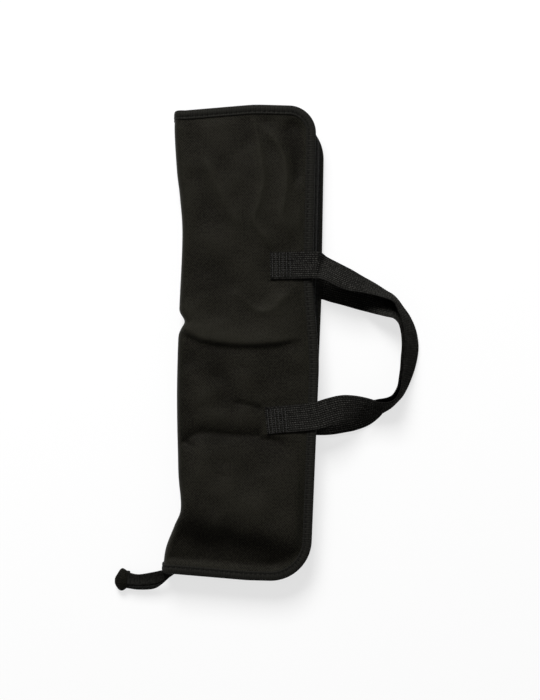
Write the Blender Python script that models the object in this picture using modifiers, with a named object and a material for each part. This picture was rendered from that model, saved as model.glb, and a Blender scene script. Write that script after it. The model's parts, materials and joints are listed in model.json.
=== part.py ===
"""Drum stick bag, lying closed on its back cover, built piece by piece.

Units are metres and +Z is up. +Y runs along the bag to the closed end of its zip, and +X runs from
the folded spine to the zip edge and the handles. The bag is drawn round the middle of its back
cover's outer face, and then carried to an origin on the surface that it lies on, under the middle
of its footprint. Distances are written in millimetres, times MM.
"""
import math

import bmesh
import bpy
from mathutils import Vector

MM = 0.001
GAP = 0.3 * MM
FOOTPRINT_MIDDLE = Vector((20.7, -7.4, -1.9)) * MM

# Fineness of the curves, and the share of a block's thickness that its softened edges take
CURVE_STEPS = 3
ARC_STEPS = 6
BLOCK_SOFTNESS = 0.2

# Layers of a cover, from the outside in
CLOTH = 1.0 * MM
FOAM = 3.0 * MM
LINING = 0.8 * MM
COVER = CLOTH + FOAM + LINING + 2 * GAP
BAG_HEIGHT = 24 * MM
FRONT_INSIDE = BAG_HEIGHT - COVER

# Edge binding, and how far the foam stays back from it and from the spine
BINDING_WIDTH = 9 * MM
FOAM_INSET = 14 * MM
FOAM_TO_SPINE = 8 * MM

# Rims of the covers in mm: x, y and the radius that rounds the corner, clockwise from the spine
FRONT_RIM = [(-71, 218.4, 0), (0, 226.3, 150), (59, 226.3, 26), (60, 60, 200), (68, -16, 200),
             (64.9, -225, 33), (5, -225, 120), (-71, -220.6, 0)]
BACK_RIM = [(-71, 217.6, 0), (67.8, 217.6, 40), (69, 40, 400), (64.8, -222.5, 36), (-71, -220.4, 0)]

# Outer line of the folded spine in mm, from the closed end of the zip to its tail
SPINE_EDGE = [(-75.4, 219), (-75.4, 200), (-71.5, 162), (-65.8, 118), (-65.2, 60), (-65.4, -50),
              (-61.5, -130), (-61, -158), (-71.5, -190), (-75.4, -208), (-75.6, -222)]
SPINE_HINGE_X = -76 * MM
SPINE_TOP = 208.4 * MM
SPINE_BOTTOM = -211 * MM
SPINE_LINING_AT = CLOTH + GAP
COVER_FROM_SPINE = 1.6 * MM
SPINE_BINDING_X = (-75.6 * MM, -71.6 * MM)
SPINE_BINDING_TOP = (209.6 * MM, 217.4 * MM)
SPINE_BINDING_BOTTOM = (-220.4 * MM, -212 * MM)

# Zip: a coil zip whose coils are on the inside, with its meeting line half way up the bag
ZIP_PATH = [(-71, 216.2, 0), (62.6, 216.2, 30), (62.8, -219.4, 28), (-71, -219.4, 0)]
ZIP_STEPS = 90
SEAM_STEPS = 400
ZIP_END_X = -62 * MM
ZIP_MIDDLE = BAG_HEIGHT / 2
ZIP_SLOT = 1.0 * MM
TAPE = 0.8 * MM
TAPE_UPRIGHT = 3.8 * MM
FRONT_SEAM_INSET = 5 * MM
BACK_SEAM_INSET = 3 * MM
COIL_RADIUS = 0.8 * MM
COIL_START_X = -50 * MM
STOP_LENGTH = 2.4 * MM

# Slider: two plates joined by a thin web that runs in the slot between the tapes
SLIDER_X = -44 * MM
SLIDER_LENGTH = 11 * MM
SLIDER_OUTER = (1.6 * MM, 6.4 * MM)
SLIDER_INNER = (1.4 * MM, 5.2 * MM)
SLIDER_WEB = 0.4 * MM
BAIL_RADIUS = 2.3 * MM
BAIL_WIRE = 0.6 * MM
BAIL_STEPS = 8
PULLER_LENGTH = 24 * MM
PULLER_WIDTH = 6.4 * MM
PULLER_THICKNESS = 1.0 * MM
PULLER_EYE = (0.8 * MM, 5.6 * MM, 4 * MM)
PULLER_CORNERS = (0.8 * MM, 3 * MM)

# Zip tail in mm: the meeting line x, y, z, then angle and width of the front and of the back tape
ZIP_TAIL = [(-62.3, -219.8, 12, 90, 5.7, -90, 5.7), (-69, -224.5, 12, 84, 6, -92, 6),
            (-76, -229.5, 11.5, 50, 9, -100, 8), (-84.5, -233.4, 10, 8, 11.4, -112, 10),
            (-99, -234.9, 9, -12, 10.4, -112, 10), (-107, -234.5, 8, -10, 12, -116, 9)]
END_TAB = [(-107.6, -221.6), (-115.2, -219), (-121.8, -227.8), (-120.7, -233.6), (-117.2, -241),
           (-107.6, -238.2)]
END_TAB_HEIGHT = (-0.6 * MM, 7 * MM)

# Handles: webbing with both ends sewn to a cover, and a loop that swings at the cover's edge
WEBBING_WIDTH = 26 * MM
WEBBING = 1.6 * MM
HANDLE_HINGE_X = 69 * MM
SEWN_FROM_X = 19 * MM
FRONT_SEWN_Y = [(72 * MM, 73.4 * MM), (-73.4 * MM, -67 * MM)]
BACK_SEWN_Y = [(57 * MM, 57 * MM), (-74 * MM, -73.6 * MM)]
FRONT_WEBBING = BAG_HEIGHT + GAP + WEBBING / 2
BACK_WEBBING = -GAP - WEBBING / 2
SQUARE_STEPS = 5

# Loops in mm: x, y, height of the webbing's middle, and how far its outer edge tips down in degrees
FRONT_LOOP = [(69.2, 73.4, 25.1, 0), (83.3, 64.4, 24.2, 8), (102.6, 54.8, 19.5, 30),
              (121.7, 48, 14.5, 54), (132.3, 45, 12, 66), (140, 38.8, 10.8, 70),
              (148.4, 28.3, 10.7, 70), (155.1, 14.1, 10.7, 70), (158.1, 1, 10.7, 70),
              (156.6, -16, 10.9, 74), (153.2, -32.3, 11.2, 82), (145.9, -45, 11.3, 86),
              (137, -54, 12, 78), (125, -59, 14.4, 56), (112.5, -61, 17.5, 32),
              (101, -61, 21, 16), (90, -60.4, 23.6, 6), (79, -63, 24.8, 1), (69.2, -67, 25.1, 0)]
BACK_LOOP = [(69.2, 57, -1.1, 0), (82, 54, -1, 0), (94.7, 50.7, -0.6, 0.5), (107, 47, 1.4, 8),
             (119, 43, 4.6, 22), (132, 37, 8.9, 50), (141, 31, 10.7, 68), (145.6, 26, 11, 74),
             (149.2, 18, 10.9, 72), (152, 5.2, 10.8, 70), (150.1, -17, 10.9, 74),
             (146.4, -32.6, 11.2, 82), (140.2, -44.6, 11.3, 86), (133.2, -50.6, 11.2, 80),
             (125.4, -55.4, 10, 60), (110.8, -62.6, 5, 25), (95.6, -69.2, 0.4, 4),
             (81.5, -72.6, -0.9, 0.5), (69.2, -73.6, -1.1, 0)]

# Stick pocket: channels sewn to the back lining, open at the end towards +Y
CHANNELS = 3
CHANNEL_WIDTH = 34 * MM
CHANNEL_HEIGHT = 6.7 * MM
CHANNEL_ROUND = 0.5
CHANNEL_STEPS = 8
POCKET_BOTTOM = -205 * MM
POCKET_CLOSING = 14 * MM
CLOSING_STEPS = 4
POCKET_MOUTH = 50 * MM
POCKET_BINDING_WIDTH = 8 * MM
POCKET_BINDING = 1.4 * MM


def points(rows):
    """Vectors in metres from rows of millimetres."""
    return [Vector(row) * MM for row in rows]


def smooth(route):
    """Curve through every point of a route."""
    ends = [2 * route[0] - route[1], *route, 2 * route[-1] - route[-2]]
    curve = []
    for before, start, end, after in zip(ends, ends[1:], ends[2:], ends[3:]):
        slope = end - before
        bend = 2 * before - 5 * start + 4 * end - after
        twist = 3 * start - before - 3 * end + after
        for step in range(CURVE_STEPS):
            t = step / CURVE_STEPS
            curve.append(start + 0.5 * (slope * t + bend * t ** 2 + twist * t ** 3))
    curve.append(route[-1])
    return curve


def rounded(corners):
    """Open path of straight runs in mm, with an arc at each corner between its two ends."""
    places = [Vector(corner[:2]) * MM for corner in corners]
    path = [places[0]]
    for before, place, after, corner in zip(places, places[1:], places[2:], corners[1:]):
        radius = corner[2] * MM
        back = (before - place).normalized()
        ahead = (after - place).normalized()
        half = back.angle(ahead) / 2
        reach = radius / math.tan(half)
        middle = place + (back + ahead).normalized() * radius / math.sin(half)
        first = place + back * reach - middle
        last = place + ahead * reach - middle
        for step in range(ARC_STEPS + 1):
            path.append(middle + first.lerp(last, step / ARC_STEPS).normalized() * radius)
    path.append(places[-1])
    return path


def even(path, count):
    """The path again, as a number of points at equal steps along it."""
    lengths = [(end - start).length for start, end in zip(path, path[1:])]
    step = sum(lengths) / (count - 1)
    spaced = [path[0]]
    walked = 0.0
    for start, end, length in zip(path, path[1:], lengths):
        while len(spaced) < count - 1 and len(spaced) * step <= walked + length:
            spaced.append(start.lerp(end, (len(spaced) * step - walked) / length))
        walked += length
    spaced.append(path[-1])
    return spaced


def inset(path, distance):
    """The path moved to its right-hand side, which is inside a rim drawn clockwise."""
    moved = []
    for index, place in enumerate(path):
        along = (path[min(index + 1, len(path) - 1)] - path[max(index - 1, 0)]).normalized()
        moved.append(place + Vector((along.y, -along.x)) * distance)
    return moved


def material(name, colour, roughness, metallic=0.0):
    made = bpy.data.materials.new(name)
    made.use_nodes = True
    shader = made.node_tree.nodes["Principled BSDF"]
    shader.inputs["Base Color"].default_value = (*colour, 1)
    shader.inputs["Roughness"].default_value = roughness
    shader.inputs["Metallic"].default_value = metallic
    return made


def joint_empty(name, place, carrier=None):
    """Empty on a joint's axis, which carries the pieces that move with it."""
    empty = bpy.data.objects.new(name, None)
    empty.empty_display_size = 10 * MM
    bag.objects.link(empty)
    world_place[empty] = Vector(place)
    empty.parent = carrier or drawing
    empty.location = world_place[empty] - (world_place[carrier] if carrier else Vector())
    return empty


def add(name, data, finish, carrier=None, place=(0, 0, 0), turn=(0, 0, 0)):
    """Named piece at a place in the drawing, carried by a joint's empty if it moves."""
    piece = bpy.data.objects.new(name, data)
    data.materials.append(finish)
    bag.objects.link(piece)
    piece.parent = carrier or drawing
    piece.location = Vector(place) - (world_place[carrier] if carrier else Vector())
    piece.rotation_euler = turn
    return piece


def flat_curve(name, outlines, thickness):
    """Filled outlines with a thickness, the middle of it at height 0. A second outline is a hole."""
    curve = bpy.data.curves.new(name, "CURVE")
    curve.dimensions = "2D"
    curve.fill_mode = "BOTH"
    curve.extrude = thickness / 2
    for outline in outlines:
        spline = curve.splines.new("POLY")
        spline.points.add(len(outline) - 1)
        for point, (x, y) in zip(spline.points, outline):
            point.co = (x, y, 0, 1)
        spline.use_cyclic_u = True
    return curve


def plate(name, outline, low, high, finish, carrier=None):
    """Flat piece of one outline between two heights."""
    data = flat_curve(name, [outline], high - low)
    return add(name, data, finish, carrier, (0, 0, (low + high) / 2))


def box(name, low, high, finish, carrier=None):
    """Small block with softened edges between two corners."""
    mesh = bpy.data.meshes.new(name)
    shape = bmesh.new()
    bmesh.ops.create_cube(shape, size=1)
    bmesh.ops.scale(shape, vec=Vector(high) - Vector(low), verts=shape.verts)
    shape.to_mesh(mesh)
    shape.free()
    piece = add(name, mesh, finish, carrier, (Vector(low) + Vector(high)) / 2)
    soften = piece.modifiers.new("soft_edges", "BEVEL")
    soften.width = min(Vector(high) - Vector(low)) * BLOCK_SOFTNESS
    soften.segments = 2
    return piece


def tube(name, path, radius, finish, carrier=None):
    """Round rod along a path."""
    curve = bpy.data.curves.new(name, "CURVE")
    curve.dimensions = "3D"
    curve.bevel_depth = radius
    curve.bevel_resolution = 1
    curve.use_fill_caps = True
    spline = curve.splines.new("POLY")
    spline.points.add(len(path) - 1)
    for point, place in zip(spline.points, path):
        point.co = (*place, 1)
    return add(name, curve, finish, carrier, world_place.get(carrier, Vector()))


def sheet(name, rows, thickness, side, finish, carrier=None):
    """Thin wall through rows of points. Its thickness goes to one side of them, or to both at 0."""
    origin = world_place.get(carrier, Vector())
    mesh = bpy.data.meshes.new(name)
    shape = bmesh.new()
    grid = [[shape.verts.new(place - origin) for place in row] for row in rows]
    for upper, lower in zip(grid, grid[1:]):
        for a, b, c, d in zip(upper, upper[1:], lower[1:], lower):
            shape.faces.new((a, b, c, d))
    shape.to_mesh(mesh)
    shape.free()
    mesh.shade_smooth()
    piece = add(name, mesh, finish, carrier, origin)
    wall = piece.modifiers.new("thickness", "SOLIDIFY")
    wall.thickness = thickness
    wall.offset = side
    return piece


def at_height(path, height):
    return [Vector((place.x, place.y, height)) for place in path]


def spine_line(low_y, high_y, shift):
    """The folded edge between two ends, moved towards the inside of the bag."""
    return [Vector((x + shift, y)) for x, y in spine_edge if low_y <= y <= high_y]


def strip_along_spine(name, shift, thickness, low, high, finish):
    outer = spine_line(SPINE_BOTTOM, SPINE_TOP, shift)
    inner = spine_line(SPINE_BOTTOM, SPINE_TOP, shift + thickness)
    plate(name, outer + inner[::-1], low, high, finish, spine_hinge)


def cover(side, rim, outer, inward, carrier=None):
    """Cloth, foam, lining and binding of one cover, stacked from its outer face."""
    def layer(name, edge_inset, spine_inset, start, thickness, finish):
        edge = inset(rim, edge_inset)
        fold = spine_line(edge[-1].y, edge[0].y, spine_inset)
        low, high = sorted((outer + inward * start, outer + inward * (start + thickness)))
        plate(f"{side}_{name}", edge + fold[::-1], low, high, finish, carrier)

    cloth_inset = BINDING_WIDTH + GAP
    foam_start = CLOTH + GAP
    layer("shell", cloth_inset, COVER_FROM_SPINE, 0, CLOTH, cloth)
    layer("foam", FOAM_INSET, FOAM_TO_SPINE, foam_start, FOAM, foam)
    layer("lining", cloth_inset, COVER_FROM_SPINE, foam_start + FOAM + GAP, LINING, lining)
    band = rim + inset(rim, BINDING_WIDTH)[::-1]
    low, high = sorted((outer, outer + inward * COVER))
    plate(f"{side}_binding", band, low, high, binding, carrier)


def sewn_end(name, left_y, right_y, height, carrier=None):
    """Flat end of a handle, sewn down from its cut end to the edge of the cover."""
    half = WEBBING_WIDTH / 2
    right_x = HANDLE_HINGE_X - GAP
    outline = [(SEWN_FROM_X, left_y - half), (right_x, right_y - half),
               (right_x, right_y + half), (SEWN_FROM_X, left_y + half)]
    plate(name, outline, height - WEBBING / 2, height + WEBBING / 2, webbing, carrier)


def loop(name, route, carrier):
    """Webbing loop that leaves the edge flat and square and stands on its outer edge far out."""
    path = smooth([Vector((*Vector(row[:3]) * MM, math.radians(row[3]))) for row in route])
    outer_edge = []
    inner_edge = []
    for index, station in enumerate(path):
        along = path[min(index + 1, len(path) - 1)] - path[max(index - 1, 0)]
        along.y *= min(1, index / SQUARE_STEPS, (len(path) - 1 - index) / SQUARE_STEPS)
        outward = Vector((-along.y, along.x, 0)).normalized()
        tip = station[3]
        reach = (outward * math.cos(tip) - Vector((0, 0, math.sin(tip)))) * WEBBING_WIDTH / 2
        outer_edge.append(station.xyz + reach)
        inner_edge.append(station.xyz - reach)
    sheet(name, [outer_edge, inner_edge], WEBBING, 0, webbing, carrier)


def zip_half(side, seam, seam_height, towards, carrier=None):
    """Tape and coil of one half of the zip, from its sewn edge to the meeting line."""
    meeting = ZIP_MIDDLE + towards * ZIP_SLOT / 2
    upright = at_height(zip_path, meeting + towards * (TAPE_UPRIGHT - ZIP_SLOT / 2))
    rows = [at_height(seam, seam_height), upright, at_height(zip_path, meeting)]
    if towards < 0:
        rows.reverse()
    sheet(f"{side}_zip_tape", rows, TAPE, -1, zip_tape, carrier)
    coil_height = meeting + towards * COIL_RADIUS
    coil_path = inset(zip_path, TAPE + GAP + COIL_RADIUS)
    coil_path = [place for place in coil_path if place.x > COIL_START_X or place.y < 0]
    origin = world_place.get(carrier, Vector())
    coil_route = [place - origin for place in at_height(coil_path, coil_height)]
    tube(f"{side}_zip_coil", coil_route, COIL_RADIUS, coil, carrier)
    middle = Vector((COIL_START_X - STOP_LENGTH, coil_path[0].y, coil_height))
    half = Vector((STOP_LENGTH / 2, COIL_RADIUS, COIL_RADIUS))
    box(f"{side}_zip_stop", middle - half, middle + half, metal, carrier)


def sewn_line(rim, seam_inset):
    """Line where a zip tape is sewn to a cover, as long as the zip itself."""
    line = [place for place in even(inset(rim, seam_inset), SEAM_STEPS) if place.x > ZIP_END_X]
    return even(line, len(zip_path))


def slider_and_puller():
    """Slider on the closed end of the zip, its bail, and the puller lying along the tape."""
    face = ZIP_PATH[0][1] * MM
    outer_low = face + GAP
    outer_high = outer_low + SLIDER_OUTER[0]
    inner_high = face - TAPE - 2 * GAP - 2 * COIL_RADIUS
    inner_low = inner_high - SLIDER_INNER[0]
    web = SLIDER_WEB / 2
    outer = SLIDER_OUTER[1] / 2
    inner = SLIDER_INNER[1] / 2
    half = [(outer_high, outer), (outer_low, outer), (outer_low, web), (inner_high, web),
            (inner_high, inner), (inner_low, inner)]
    profile = half + [(y, -z) for y, z in half[::-1]]
    data = flat_curve("zip_slider", [profile], SLIDER_LENGTH)
    stand = (math.pi / 2, 0, math.pi / 2)
    add("zip_slider", data, metal, slide_start, (SLIDER_X, 0, ZIP_MIDDLE), stand)

    pivot = world_place[puller_hinge]
    foot = outer_high + GAP - pivot.y
    arch = [Vector((BAIL_RADIUS, foot, 0))]
    for step in range(BAIL_STEPS + 1):
        angle = math.pi * step / BAIL_STEPS
        arch.append(Vector((BAIL_RADIUS * math.cos(angle), BAIL_RADIUS * math.sin(angle), 0)))
    arch.append(Vector((-BAIL_RADIUS, foot, 0)))
    shift = pivot - world_place[slide_start]
    tube("slider_bail", [place + shift for place in arch], BAIL_WIRE, metal, slide_start)

    eye_near, eye_far, eye_width = PULLER_EYE
    near = -eye_near - 2 * GAP
    far = near + PULLER_LENGTH
    half = PULLER_WIDTH / 2
    sharp, round_end = PULLER_CORNERS
    corners = [(near, 0, 0), (near, -half, sharp), (far, -half, round_end), (far, half, round_end),
               (near, half, sharp), (near, 0, 0)]
    body = rounded([Vector(corner) / MM for corner in corners])[:-1]
    eye = [(eye_near, -eye_width / 2), (eye_far, -eye_width / 2), (eye_far, eye_width / 2),
           (eye_near, eye_width / 2)]
    data = flat_curve("zip_puller", [body, eye], PULLER_THICKNESS)
    add("zip_puller", data, metal, puller_hinge, pivot, (math.pi / 2, 0, 0))


def zip_tail():
    """Closed end of the zip hanging out of the corner, with a folded cloth tab round its end."""
    stations = smooth([Vector(row) for row in ZIP_TAIL])
    rows = {"front": [], "back": []}
    for station in stations:
        seam = Vector(station[:3]) * MM
        for side, angle, width in (("front", *station[3:5]), ("back", *station[5:7])):
            lean = math.radians(angle)
            across = Vector((0, math.cos(lean), math.sin(lean)))
            rows[side].append((seam + across * TAPE, seam + across * width * MM))
    for side, pairs in rows.items():
        near = [pair[0] for pair in pairs]
        far = [pair[1] for pair in pairs]
        sheet(f"zip_tail_{side}_tape", [near, far], TAPE, 0, zip_tape, tail_hinge)
    plate("zip_end_tab", points(END_TAB), *END_TAB_HEIGHT, cloth, tail_hinge)


def stick_pocket():
    """Row of round channels for sticks, closed at the bottom, and the binding round their mouths."""
    base = COVER + GAP
    across = [step / CHANNEL_STEPS for step in range(CHANNELS * CHANNEL_STEPS + 1)]

    def row(y, share):
        rise = [abs(math.sin(math.pi * place)) ** CHANNEL_ROUND for place in across]
        return [Vector(((place - CHANNELS / 2) * CHANNEL_WIDTH, y, base + share * CHANNEL_HEIGHT * up))
                for place, up in zip(across, rise)]

    closed = [step / CLOSING_STEPS for step in range(CLOSING_STEPS + 1)]
    closing = [row(POCKET_BOTTOM + POCKET_CLOSING * part, math.sin(math.pi / 2 * part))
               for part in closed]
    middle = [row(POCKET_BOTTOM / 2, 1), row(POCKET_MOUTH, 1)]
    sheet("stick_pocket", closing + middle, LINING, 1, lining)
    mouth = POCKET_MOUTH + GAP
    edge = [row(mouth, 1), row(mouth + POCKET_BINDING_WIDTH, 1)]
    sheet("pocket_binding", edge, POCKET_BINDING, 1, binding)


for leftover in list(bpy.data.objects):
    bpy.data.objects.remove(leftover)
bag = bpy.data.collections.new("drum_stick_bag")
bpy.context.scene.collection.children.link(bag)
world_place = {}
drawing = bpy.data.objects.new("drawing_origin", None)
drawing.location = -FOOTPRINT_MIDDLE
bag.objects.link(drawing)

cloth = material("black_cloth", (0.012, 0.011, 0.009), 0.7)
binding = material("binding_tape", (0.014, 0.014, 0.013), 0.75)
webbing = material("webbing", (0.018, 0.018, 0.017), 0.8)
lining = material("lining", (0.02, 0.02, 0.02), 0.6)
foam = material("foam", (0.05, 0.05, 0.05), 0.95)
zip_tape = material("zip_tape", (0.011, 0.011, 0.011), 0.8)
coil = material("nylon_coil", (0.01, 0.01, 0.01), 0.4)
metal = material("black_metal", (0.02, 0.02, 0.02), 0.35, 1.0)

spine_hinge = joint_empty("spine_hinge", (SPINE_HINGE_X, 0, 0))
cover_hinge = joint_empty("cover_hinge", (SPINE_HINGE_X, 0, BAG_HEIGHT), spine_hinge)
front_handle_hinge = joint_empty(
    "front_handle_hinge", (HANDLE_HINGE_X, 0, FRONT_WEBBING + WEBBING / 2 + GAP / 2), cover_hinge)
back_handle_hinge = joint_empty(
    "back_handle_hinge", (HANDLE_HINGE_X, 0, BACK_WEBBING - WEBBING / 2 - GAP / 2))
slide_start = joint_empty("slide_start", (SLIDER_X, 0, ZIP_MIDDLE))
pull_height = ZIP_PATH[0][1] * MM + GAP + SLIDER_OUTER[0] + GAP + PULLER_EYE[0] + 2 * GAP
puller_hinge = joint_empty("puller_hinge", (SLIDER_X, pull_height, ZIP_MIDDLE), slide_start)
tail_hinge = joint_empty("tail_hinge", Vector(ZIP_TAIL[0][:3]) * MM)

spine_edge = smooth(points(SPINE_EDGE))
front_rim = rounded(FRONT_RIM)
back_rim = rounded(BACK_RIM)
zip_path = [place for place in even(rounded(ZIP_PATH), ZIP_STEPS) if place.x > ZIP_END_X]

cover("back", back_rim, 0, 1)
cover("front", front_rim, BAG_HEIGHT, -1, cover_hinge)

strip_along_spine("spine_shell", 0, CLOTH, GAP, BAG_HEIGHT - GAP, cloth)
strip_along_spine("spine_lining", SPINE_LINING_AT, LINING, COVER + GAP, FRONT_INSIDE - GAP, lining)
for place, (low_y, high_y) in (("top", SPINE_BINDING_TOP), ("bottom", SPINE_BINDING_BOTTOM)):
    box(f"spine_binding_{place}", (SPINE_BINDING_X[0], low_y, GAP),
        (SPINE_BINDING_X[1], high_y, BAG_HEIGHT - GAP), binding, spine_hinge)

zip_half("back", sewn_line(back_rim, BACK_SEAM_INSET), COVER + GAP + TAPE, -1)
zip_half("front", sewn_line(front_rim, FRONT_SEAM_INSET), FRONT_INSIDE - GAP - TAPE, 1, cover_hinge)
slider_and_puller()
zip_tail()
stick_pocket()

for side, sewn, height, carrier in (("front", FRONT_SEWN_Y, FRONT_WEBBING, cover_hinge),
                                    ("back", BACK_SEWN_Y, BACK_WEBBING, None)):
    for place, (left_y, right_y) in zip(("upper", "lower"), sewn):
        sewn_end(f"{side}_handle_{place}_end", left_y, right_y, height, carrier)
loop("front_handle", FRONT_LOOP, front_handle_hinge)
loop("back_handle", BACK_LOOP, back_handle_hinge)
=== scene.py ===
# %% [markdown]
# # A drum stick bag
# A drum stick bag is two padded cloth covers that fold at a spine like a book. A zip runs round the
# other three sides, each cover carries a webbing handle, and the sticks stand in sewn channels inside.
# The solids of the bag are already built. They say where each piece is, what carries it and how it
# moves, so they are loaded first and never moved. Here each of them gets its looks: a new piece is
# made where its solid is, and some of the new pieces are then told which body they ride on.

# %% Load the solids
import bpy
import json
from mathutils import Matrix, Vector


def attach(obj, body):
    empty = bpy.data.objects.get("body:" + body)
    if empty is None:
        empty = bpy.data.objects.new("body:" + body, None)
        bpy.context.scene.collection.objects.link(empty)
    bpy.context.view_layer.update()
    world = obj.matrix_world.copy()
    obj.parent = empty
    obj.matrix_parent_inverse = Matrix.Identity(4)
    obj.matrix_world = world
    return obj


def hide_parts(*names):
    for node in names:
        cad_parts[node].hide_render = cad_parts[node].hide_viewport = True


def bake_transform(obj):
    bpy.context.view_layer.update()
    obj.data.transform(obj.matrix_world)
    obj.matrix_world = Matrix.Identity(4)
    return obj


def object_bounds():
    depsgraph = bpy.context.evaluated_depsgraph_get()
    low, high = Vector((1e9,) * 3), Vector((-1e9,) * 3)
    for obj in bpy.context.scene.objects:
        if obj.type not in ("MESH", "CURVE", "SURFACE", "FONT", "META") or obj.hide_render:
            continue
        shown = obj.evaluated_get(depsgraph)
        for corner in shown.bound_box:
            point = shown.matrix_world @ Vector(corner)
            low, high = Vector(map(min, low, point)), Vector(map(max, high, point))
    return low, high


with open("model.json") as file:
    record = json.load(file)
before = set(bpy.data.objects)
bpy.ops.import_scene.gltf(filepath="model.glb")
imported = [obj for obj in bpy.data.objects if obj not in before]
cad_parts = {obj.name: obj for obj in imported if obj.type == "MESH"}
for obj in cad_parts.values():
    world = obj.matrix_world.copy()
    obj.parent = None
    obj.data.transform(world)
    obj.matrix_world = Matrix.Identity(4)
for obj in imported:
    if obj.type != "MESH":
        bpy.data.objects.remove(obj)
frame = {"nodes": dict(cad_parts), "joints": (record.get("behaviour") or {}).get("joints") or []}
cad_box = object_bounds()

# %% [markdown]
# The bag is drawn in millimetres round the middle of its back cover, with +Y along the bag, +X from the
# spine to the zip and +Z out of the front cover. The frame has its origin elsewhere, so one function
# turns places of the drawing into places of the frame. It finds the way from a joint that both know:
# the lower fold of the spine.

# %% Drawing and frame
import json
import math

import bmesh
import bpy
import numpy as np

MM = 0.001
SPINE_HINGE = (-76, 0, 0)
joint_places = {joint["name"]: joint.get("pos_m") for joint in frame["joints"]}
drawing_origin = np.array(joint_places["spine_fold"]) - np.array(SPINE_HINGE) * MM


def to_frame(places):
    """Places in millimetres of the drawing, as metres of the frame."""
    return drawing_origin + np.asarray(places, float) * MM


print("drawing origin in the frame:", drawing_origin.round(4))

# %% [markdown]
# The bag lies flat and is seen from straight above, so the camera looks down. A long lens from far off
# keeps the sides out of sight, as in a catalogue picture. The small turn is how the bag lies askew.

# %% Camera
CAMERA_PLACE = (21.07, -6.09, 1590)
CAMERA_TURN = math.radians(1.53)
scene = bpy.context.scene
camera_data = bpy.data.cameras.new("camera")
camera_data.lens = 85
camera_data.sensor_width = 36
camera = bpy.data.objects.new("camera", camera_data)
camera.location = to_frame(CAMERA_PLACE)
camera.rotation_euler = (0, 0, CAMERA_TURN)
scene.collection.objects.link(camera)
scene.camera = camera
scene.view_settings.view_transform = "Standard"
print("camera height in m:", round(camera.location.z, 3))

# %% [markdown]
# Small helpers for shader nodes come next: one joins two nodes or sets a plain value, one adds a sum.
# With them a material reads as a list of steps instead of a screen full of boxes.

# %% Helpers for nodes
def feed(tree, value, socket):
    """Links a socket to another, or sets it to a plain value."""
    if isinstance(value, bpy.types.NodeSocket):
        tree.links.new(value, socket)
    else:
        socket.default_value = value


def calc(tree, operation, *values):
    """One sum, as a math node."""
    node = tree.nodes.new("ShaderNodeMath")
    node.operation = operation
    for value, socket in zip(values, node.inputs):
        feed(tree, value, socket)
    return node.outputs[0]


def new_group(name, inputs, outputs):
    """Empty shader node group, with the sockets that it is given and those that it makes."""
    group = bpy.data.node_groups.new(name, "ShaderNodeTree")
    for label, kind in inputs.items():
        group.interface.new_socket(label, in_out="INPUT", socket_type=f"NodeSocket{kind}")
    for label, kind in outputs.items():
        group.interface.new_socket(label, in_out="OUTPUT", socket_type=f"NodeSocket{kind}")
    given = group.nodes.new("NodeGroupInput").outputs
    made = group.nodes.new("NodeGroupOutput").inputs
    return group, given, made


def place_group(tree, group, **values):
    """Puts a node group in a material, with its own values."""
    node = tree.nodes.new("ShaderNodeGroup")
    node.node_tree = group
    for label, value in values.items():
        feed(tree, value, node.inputs[label])
    return node.outputs


def new_material(name):
    finish = bpy.data.materials.new(name)
    finish.use_nodes = True
    return finish, finish.node_tree, finish.node_tree.nodes["Principled BSDF"]


print("node helpers ready")

# %% [markdown]
# The floor is a pale sheet of paper. To the camera it is mostly plain white, with a share of its real shading
# mixed in, so that the bag still stands on a faint soft shadow. Light Path tells the camera's rays from the
# rays that light the bag. The light is one large soft lamp beyond the top left of the bag, low enough for
# folds to show, and a dim sky that is paler at the horizon. A colour comes out about as it is written.

# %% Floor and light
FLOOR_SIZE = 60
FLOOR_DROP = 0.0006
FLOOR_COLOUR = (0.98, 0.98, 0.98, 1)
WHITE_SHARE = 0.69
KEY_PLACE = (-0.9, 3.1, 2.9)
KEY_SIZE = 1.9
KEY_WATTS = 245
HORIZON_TONE = (0.9, 0.9, 0.9, 1)
SKY_TONE = (0.2, 0.2, 0.201, 1)
HORIZON_REACH = 0.15


def paper_floor():
    shape = bmesh.new()
    bmesh.ops.create_grid(shape, x_segments=8, y_segments=8, size=FLOOR_SIZE / 2)
    mesh = bpy.data.meshes.new("paper_floor")
    shape.to_mesh(mesh)
    shape.free()
    floor = bpy.data.objects.new("paper_floor", mesh)
    floor.location.z = cad_box[0].z - FLOOR_DROP
    scene.collection.objects.link(floor)
    finish, tree, shader = new_material("paper")
    shader.inputs["Base Color"].default_value = FLOOR_COLOUR
    shader.inputs["Roughness"].default_value = 0.9
    shader.inputs["Specular IOR Level"].default_value = 0.0
    rays = tree.nodes.new("ShaderNodeLightPath").outputs
    seen = calc(tree, "MAXIMUM", rays["Is Camera Ray"], rays["Is Glossy Ray"])
    seen = calc(tree, "MAXIMUM", seen, rays["Is Transmission Ray"])
    white = tree.nodes.new("ShaderNodeEmission")
    mixed = tree.nodes.new("ShaderNodeMixShader")
    feed(tree, calc(tree, "MULTIPLY", seen, WHITE_SHARE), mixed.inputs["Fac"])
    feed(tree, shader.outputs["BSDF"], mixed.inputs[1])
    feed(tree, white.outputs["Emission"], mixed.inputs[2])
    feed(tree, mixed.outputs["Shader"], tree.nodes["Material Output"].inputs["Surface"])
    mesh.materials.append(finish)


def soft_lamp(name, place, size, watts):
    data = bpy.data.lights.new(name, "AREA")
    data.size = size
    data.energy = watts
    lamp = bpy.data.objects.new(name, data)
    lamp.location = place
    lamp.rotation_euler = (-lamp.location).to_track_quat("-Z", "Y").to_euler()
    scene.collection.objects.link(lamp)


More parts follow.
